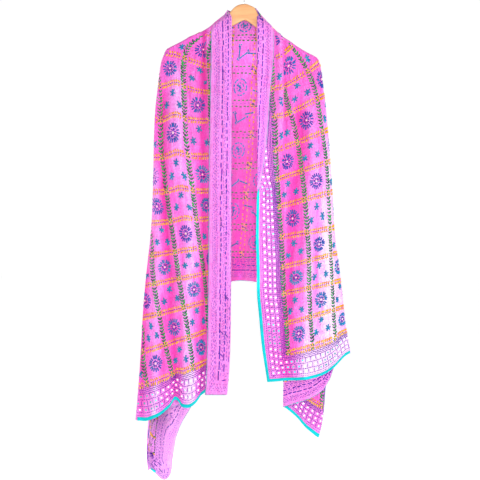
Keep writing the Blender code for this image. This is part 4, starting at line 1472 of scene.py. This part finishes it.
tapeSize = {
    "step": 5, "wall": 0.5, "lap": 0.6, "nearBy": 4,
    # drop where the hem turns in behind the left front, and what is left free at crowded corners
    "turnDrop": 1303, "endsBefore": 68, "backEdge": (26, 2205), "cornerFrom": 817,
    # the tape from the wrong side round the edge to its inner fold, as inset from the edge and lift
    "across": (
        (0.1, -0.8), (-0.3, -0.7), (-0.6, 0.0), (-0.3, 0.85), (1.5, 1.25), (5.0, 1.35), (8.4, 1.2), (9.2, 0.55),
    ),
}


def steady(points):
    # a point that stands far out of line goes back to the running median
    reach, far = 4, 7
    padded = np.concatenate([points[:1].repeat(reach, 0), points, points[-1:].repeat(reach, 0)])
    middle = np.median([padded[i : i + len(points)] for i in range(2 * reach + 1)], axis=0)
    return np.where(abs(points - middle).max(-1, keepdims=True) > far, middle, points)


def makeBinding(name, start, end, inward, material):
    # a folded tape along one edge of the cloth, lapped a little over to the wrong side
    across = tapeSize["across"]
    start, end, inward = np.array(start, float), np.array(end, float), np.array(inward, float)
    length = np.linalg.norm(end - start)
    count = round(length / tapeSize["step"])
    along = start + (end - start) * np.linspace(0, 1, count + 1)[:, None]
    edge, edgeNormal, _ = findPlace(along)
    edge, near = steady(edge), steady(findPlace(along + inward * tapeSize["nearBy"])[0])
    outward = edge - near
    outward /= np.maximum(lengths(outward), 1e-6)
    columns = []
    for inset, lift in across:
        if inset <= tapeSize["lap"]:
            columns.append((edge - outward * inset + edgeNormal * lift, along + inward * inset))
        else:
            point, normal, _ = findPlace(along + inward * inset)
            step = steady(point) - edge
            point = edge + step * np.minimum(1, 1.2 * inset / np.maximum(lengths(step), 1e-6))
            columns.append((point + normal * lift, along + inward * inset))
    bm = bmesh.new()
    layer = bm.loops.layers.uv.new("clothUv")
    places = {}
    for vert, i, j in gridPlaces(bm, count + 1, len(across)):
        vert.co = columns[j][0][i] / 1000
        places[vert.index] = columns[j][1][i]
    setUv(bm, layer, places)
    bm.normal_update()
    piece = finishPiece(name, bm, material)
    addWall(piece, tapeSize["wall"])
    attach(piece, "root")
    return piece


sewn.append(makeMirrors())
tape = bindingMaterial()
long, wide = cloth["length"], cloth["width"]
backFrom, backTo = tapeSize["backEdge"]
lowRow = made["leftSide"]
turnAt = float(lowRow["uv"][lowRow["drop"][:, -1] < tapeSize["turnDrop"], -1, 1].max())
bindings = [
    makeBinding("left_end_binding", (0, 0), (0, turnAt), (1, 0), tape),
    makeBinding("right_end_binding", (long, 0), (long, wide - tapeSize["endsBefore"]), (-1, 0), tape),
    makeBinding("neck_edge_binding", (0, 0), (long, 0), (0, 1), tape),
    makeBinding("back_edge_binding", (backFrom, wide), (backTo, wide), (0, -1), tape),
    makeBinding("corner_binding", (0, tapeSize["cornerFrom"]), (0, wide), (1, 0), tape),
]
sewn += bindings
print("mirrors and binding made")

hanger = {
    "thick": 12.0, "round": 4.0, "columns": 96, "rows": 6,
    "wire": 3.3, "wireSides": 12, "tipThin": 0.3, "hookRadius": 23.65, "turnSteps": 40,
    # the wire's way up out of the wood as (x, height), then the drop and the two ends of its turn
    "stem": ((4.3, -82), (4.3, -68), (4.3, -58), (6, -51), (10, -45)), "turnDrop": 22, "turnEnds": (140, -100),
    # drop of the top and the underside, by x
    "top": (
        (-214, 217), (-206, 209.5), (-177, 195), (-112, 169), (-84, 161), (-62, 139), (-48, 114), (-37, 98),
        (-30, 90), (-23.5, 84), (-13.3, 78.4), (0, 75.6), (8, 75.5), (15, 77), (23.6, 81), (35.4, 88),
        (44, 104), (56, 125), (72, 146), (90, 162), (112, 178), (150, 203), (196, 229), (206, 238),
    ),
    "under": (
        (-214, 231), (-204, 238), (-160, 219), (-94, 184), (-60, 160), (-32, 141), (-12, 130), (4, 123.5),
        (20, 131), (40, 146), (64, 166), (90, 186), (150, 223), (188, 247), (200, 252), (206, 247),
    ),
}


def woodMaterial():
    # pale varnished wood: long grain, faint rings and darker pores
    material, tree, shader = nodesOf("paleWood")
    place = objectPlace(tree)
    rings = noise(tree, place, (7, 40, 34), 4.0, Distortion=0.5)
    pores = noise(tree, place, (30, 900, 900))
    colour = ramp(tree, rings, (0.3, (0.70, 0.32, 0.125)), (0.5, (0.75, 0.385, 0.16)), (0.7, (0.79, 0.43, 0.19)))
    dots = ramp(tree, pores, (0.3, (0.72, 0.62, 0.55)), (0.5, (1, 1, 1)))
    setInputs(tree, shader, {
        "Base Color": mixed(tree, 0.5, colour, dots, "MULTIPLY"), "Normal": bump(tree, pores, 0.2, 0.0003),
        "Roughness": 0.42, "Coat Weight": 0.25, "Coat Roughness": 0.25,
    })
    return material


def steelMaterial():
    material, tree, shader = nodesOf("wireSteel")
    worn = noise(tree, objectPlace(tree), 180.0, 3.0)
    setInputs(tree, shader, {
        "Base Color": ramp(tree, worn, (0.35, (0.36, 0.36, 0.38)), (0.6, (0.55, 0.55, 0.57))),
        "Roughness": ramp(tree, worn, (0.3, (0.22, 0.22, 0.22)), (0.7, (0.36, 0.36, 0.36))),
        "Metallic": 1.0,
    })
    return material


def makeHangerBody():
    bm = bmesh.new()
    bmesh.ops.create_grid(bm, x_segments=hanger["columns"], y_segments=hanger["rows"], size=0.5)
    ends = hanger["top"][0][0], hanger["top"][-1][0]
    for vert in bm.verts:
        x = ends[0] + (ends[1] - ends[0]) * (vert.co.x + 0.5)
        share = vert.co.y + 0.5
        drop = float(follow(hanger["top"], x)) * share + float(follow(hanger["under"], x)) * (1 - share)
        vert.co = (x / 1000, -hanger["thick"] / 2000, -drop / 1000)
    extrude(bm, (0, hanger["thick"] / 1000, 0))
    bmesh.ops.recalc_face_normals(bm, faces=bm.faces)
    rim = [e for e in bm.edges if e.calc_face_angle(0) > 0.9 and abs(e.verts[0].co.y - e.verts[1].co.y) < 1e-6]
    rounding = {"offset": hanger["round"] / 1000, "segments": 4, "profile": 0.5}
    bmesh.ops.bevel(bm, geom=rim, affect="EDGES", material=-1, **rounding)
    for face in bm.faces:
        face.smooth = True
    piece = finishPiece("hanger_body", bm, woodMaterial())
    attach(piece, "root")
    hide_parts("hanger_wood")
    return piece


hangerBody = makeHangerBody()


def makeHook():
    # one wire: up out of the wood, over, and back down to its open tip
    start, end = hanger["turnEnds"]
    radius, drop = hanger["hookRadius"], hanger["turnDrop"]
    angles = np.linspace(math.radians(start), math.radians(end), hanger["turnSteps"])
    turn = [(radius * math.sin(a), -drop - radius * math.cos(a)) for a in angles]
    path = np.array([(x, 0, z) for x, z in (*hanger["stem"], *turn)])
    count = len(path)
    bm = bmesh.new()
    bmesh.ops.create_grid(bm, x_segments=count - 1, y_segments=hanger["wireSides"], size=0.5)
    tangent = np.gradient(path, axis=0)
    tangent /= np.linalg.norm(tangent, axis=1, keepdims=True)
    side = np.cross(tangent, (0, 1, 0))
    for vert in bm.verts:
        i, angle = round((vert.co.x + 0.5) * (count - 1)), 2 * math.pi * (vert.co.y + 0.5)
        thin = hanger["wire"] / 2 * (hanger["tipThin"] if i in (0, count - 1) else 1)
        vert.co = (path[i] + thin * (side[i] * math.cos(angle) + np.array((0, 1, 0)) * math.sin(angle))) / 1000
    bmesh.ops.remove_doubles(bm, verts=bm.verts, dist=1e-6)
    bmesh.ops.holes_fill(bm, edges=[e for e in bm.edges if e.is_boundary], sides=0)
    bmesh.ops.recalc_face_normals(bm, faces=bm.faces)
    for face in bm.faces:
        face.smooth = len(face.verts) == 4
    piece = finishPiece("hook_wire", bm, steelMaterial())
    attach(piece, "root")
    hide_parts("hanger_hook")
    return piece


makeHook()
print("hanger finished", len(hangerBody.data.polygons), "faces")

everyCloth = [f"{side}_{part}" for side in ("left", "right") for part in ("front", "side_fold", "lapel")]
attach(shawl, "root")
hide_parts(*everyCloth, "back_panel", "back_collar")

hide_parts("left_hem_edging", "left_side_hem_edging")
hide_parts("right_hem_edging", "right_side_hem_edging")
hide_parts("right_front_edging")
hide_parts("back_edge_edging")

room = {
    "floorDrop": 1.95, "cameraAway": 3.0, "cameraX": -0.00885, "cameraDrop": 0.7711, "focal": 76.3,
    "sensor": 36, "roundLight": 0.40, "backdrop": 1.02, "floorHalf": 30, "floorGlow": 0.62,
    # gridded strips that reach in between the fronts and under the left hem: width, height, power, spread, place
    "strips": {
        "openingStrip": (0.05, 0.76, 0.19, 11, (0.010, -0.75, -0.55)),
        "footStrip": (0.07, 0.12, 0.03, 10, (-0.25, -0.75, -1.41)),
    },
    # place, size, power, aim
    "lamps": {
        "frontSoftbox": ((0.25, -3.0, -0.5), 1.4, 36, (0, 0, -0.75)),
        "keyLight": ((2.45, -1.4, -0.1), 0.8, 42, (0, 0, -0.8)),
        "leftFill": ((-2.6, -0.7, -0.6), 1.8, 14, (0, 0, -0.8)),
        "backSoftbox": ((-0.3, 2.9, -0.5), 1.4, 42, (0, 0, -0.75)),
        "backKey": ((-2.3, 1.5, -0.1), 0.8, 34, (0, 0, -0.8)),
    },
}


def addLamp(name, size, power):
    light = bpy.data.lights.new(name, "AREA")
    light.size, light.energy = size, power
    lamp = bpy.data.objects.new(name, light)
    lamp.visible_camera = False
    bpy.context.scene.collection.objects.link(lamp)
    return lamp


def makeRoom():
    bm = bmesh.new()
    bmesh.ops.create_grid(bm, x_segments=1, y_segments=1, size=room["floorHalf"])
    bmesh.ops.translate(bm, verts=bm.verts, vec=(0, 0, -room["floorDrop"]))
    material, tree, shader = nodesOf("paleFloor")
    grain = noise(tree, objectPlace(tree), 3.0)
    setInputs(tree, shader, {
        "Base Color": ramp(tree, grain, (0.3, (0.95, 0.95, 0.95)), (0.7, (0.98, 0.98, 0.98))),
        "Roughness": 0.9, "Emission Color": (1, 1, 1, 1), "Emission Strength": room["floorGlow"],
    })
    floor = finishPiece("floor", bm, material)
    world = bpy.data.worlds.new("studio")
    bpy.context.scene.world = world
    world.use_nodes = True
    tree = world.node_tree
    seen = addNode(tree, "ShaderNodeLightPath").outputs["Is Camera Ray"]
    strength = sums(tree, seen, room["backdrop"] - room["roundLight"], room["roundLight"])
    setInputs(tree, tree.nodes["Background"], {"Color": (1, 1, 1, 1), "Strength": strength})
    for name, (place, size, power, aim) in room["lamps"].items():
        lamp = addLamp(name, size, power)
        lamp.location = place
        lamp.rotation_euler = (Vector(aim) - Vector(place)).to_track_quat("-Z", "Y").to_euler()
    for name, (across, high, power, spread, place) in room["strips"].items():
        lamp = addLamp(name, across, power)
        lamp.data.shape, lamp.data.size_y, lamp.data.spread = "RECTANGLE", high, math.radians(spread)
        lamp.location, lamp.rotation_euler = place, (math.radians(90), 0, 0)
    camera = bpy.data.cameras.new("camera")
    camera.lens, camera.sensor_width = room["focal"], room["sensor"]
    eye = bpy.data.objects.new("camera", camera)
    eye.location = (room["cameraX"], -room["cameraAway"], -room["cameraDrop"])
    eye.rotation_euler = (math.radians(90), 0, 0)
    bpy.context.scene.collection.objects.link(eye)
    bpy.context.scene.camera = eye
    settings = bpy.context.scene.view_settings
    settings.view_transform = "Standard"
    settings.look = "None"


makeRoom()
print("room and light set")
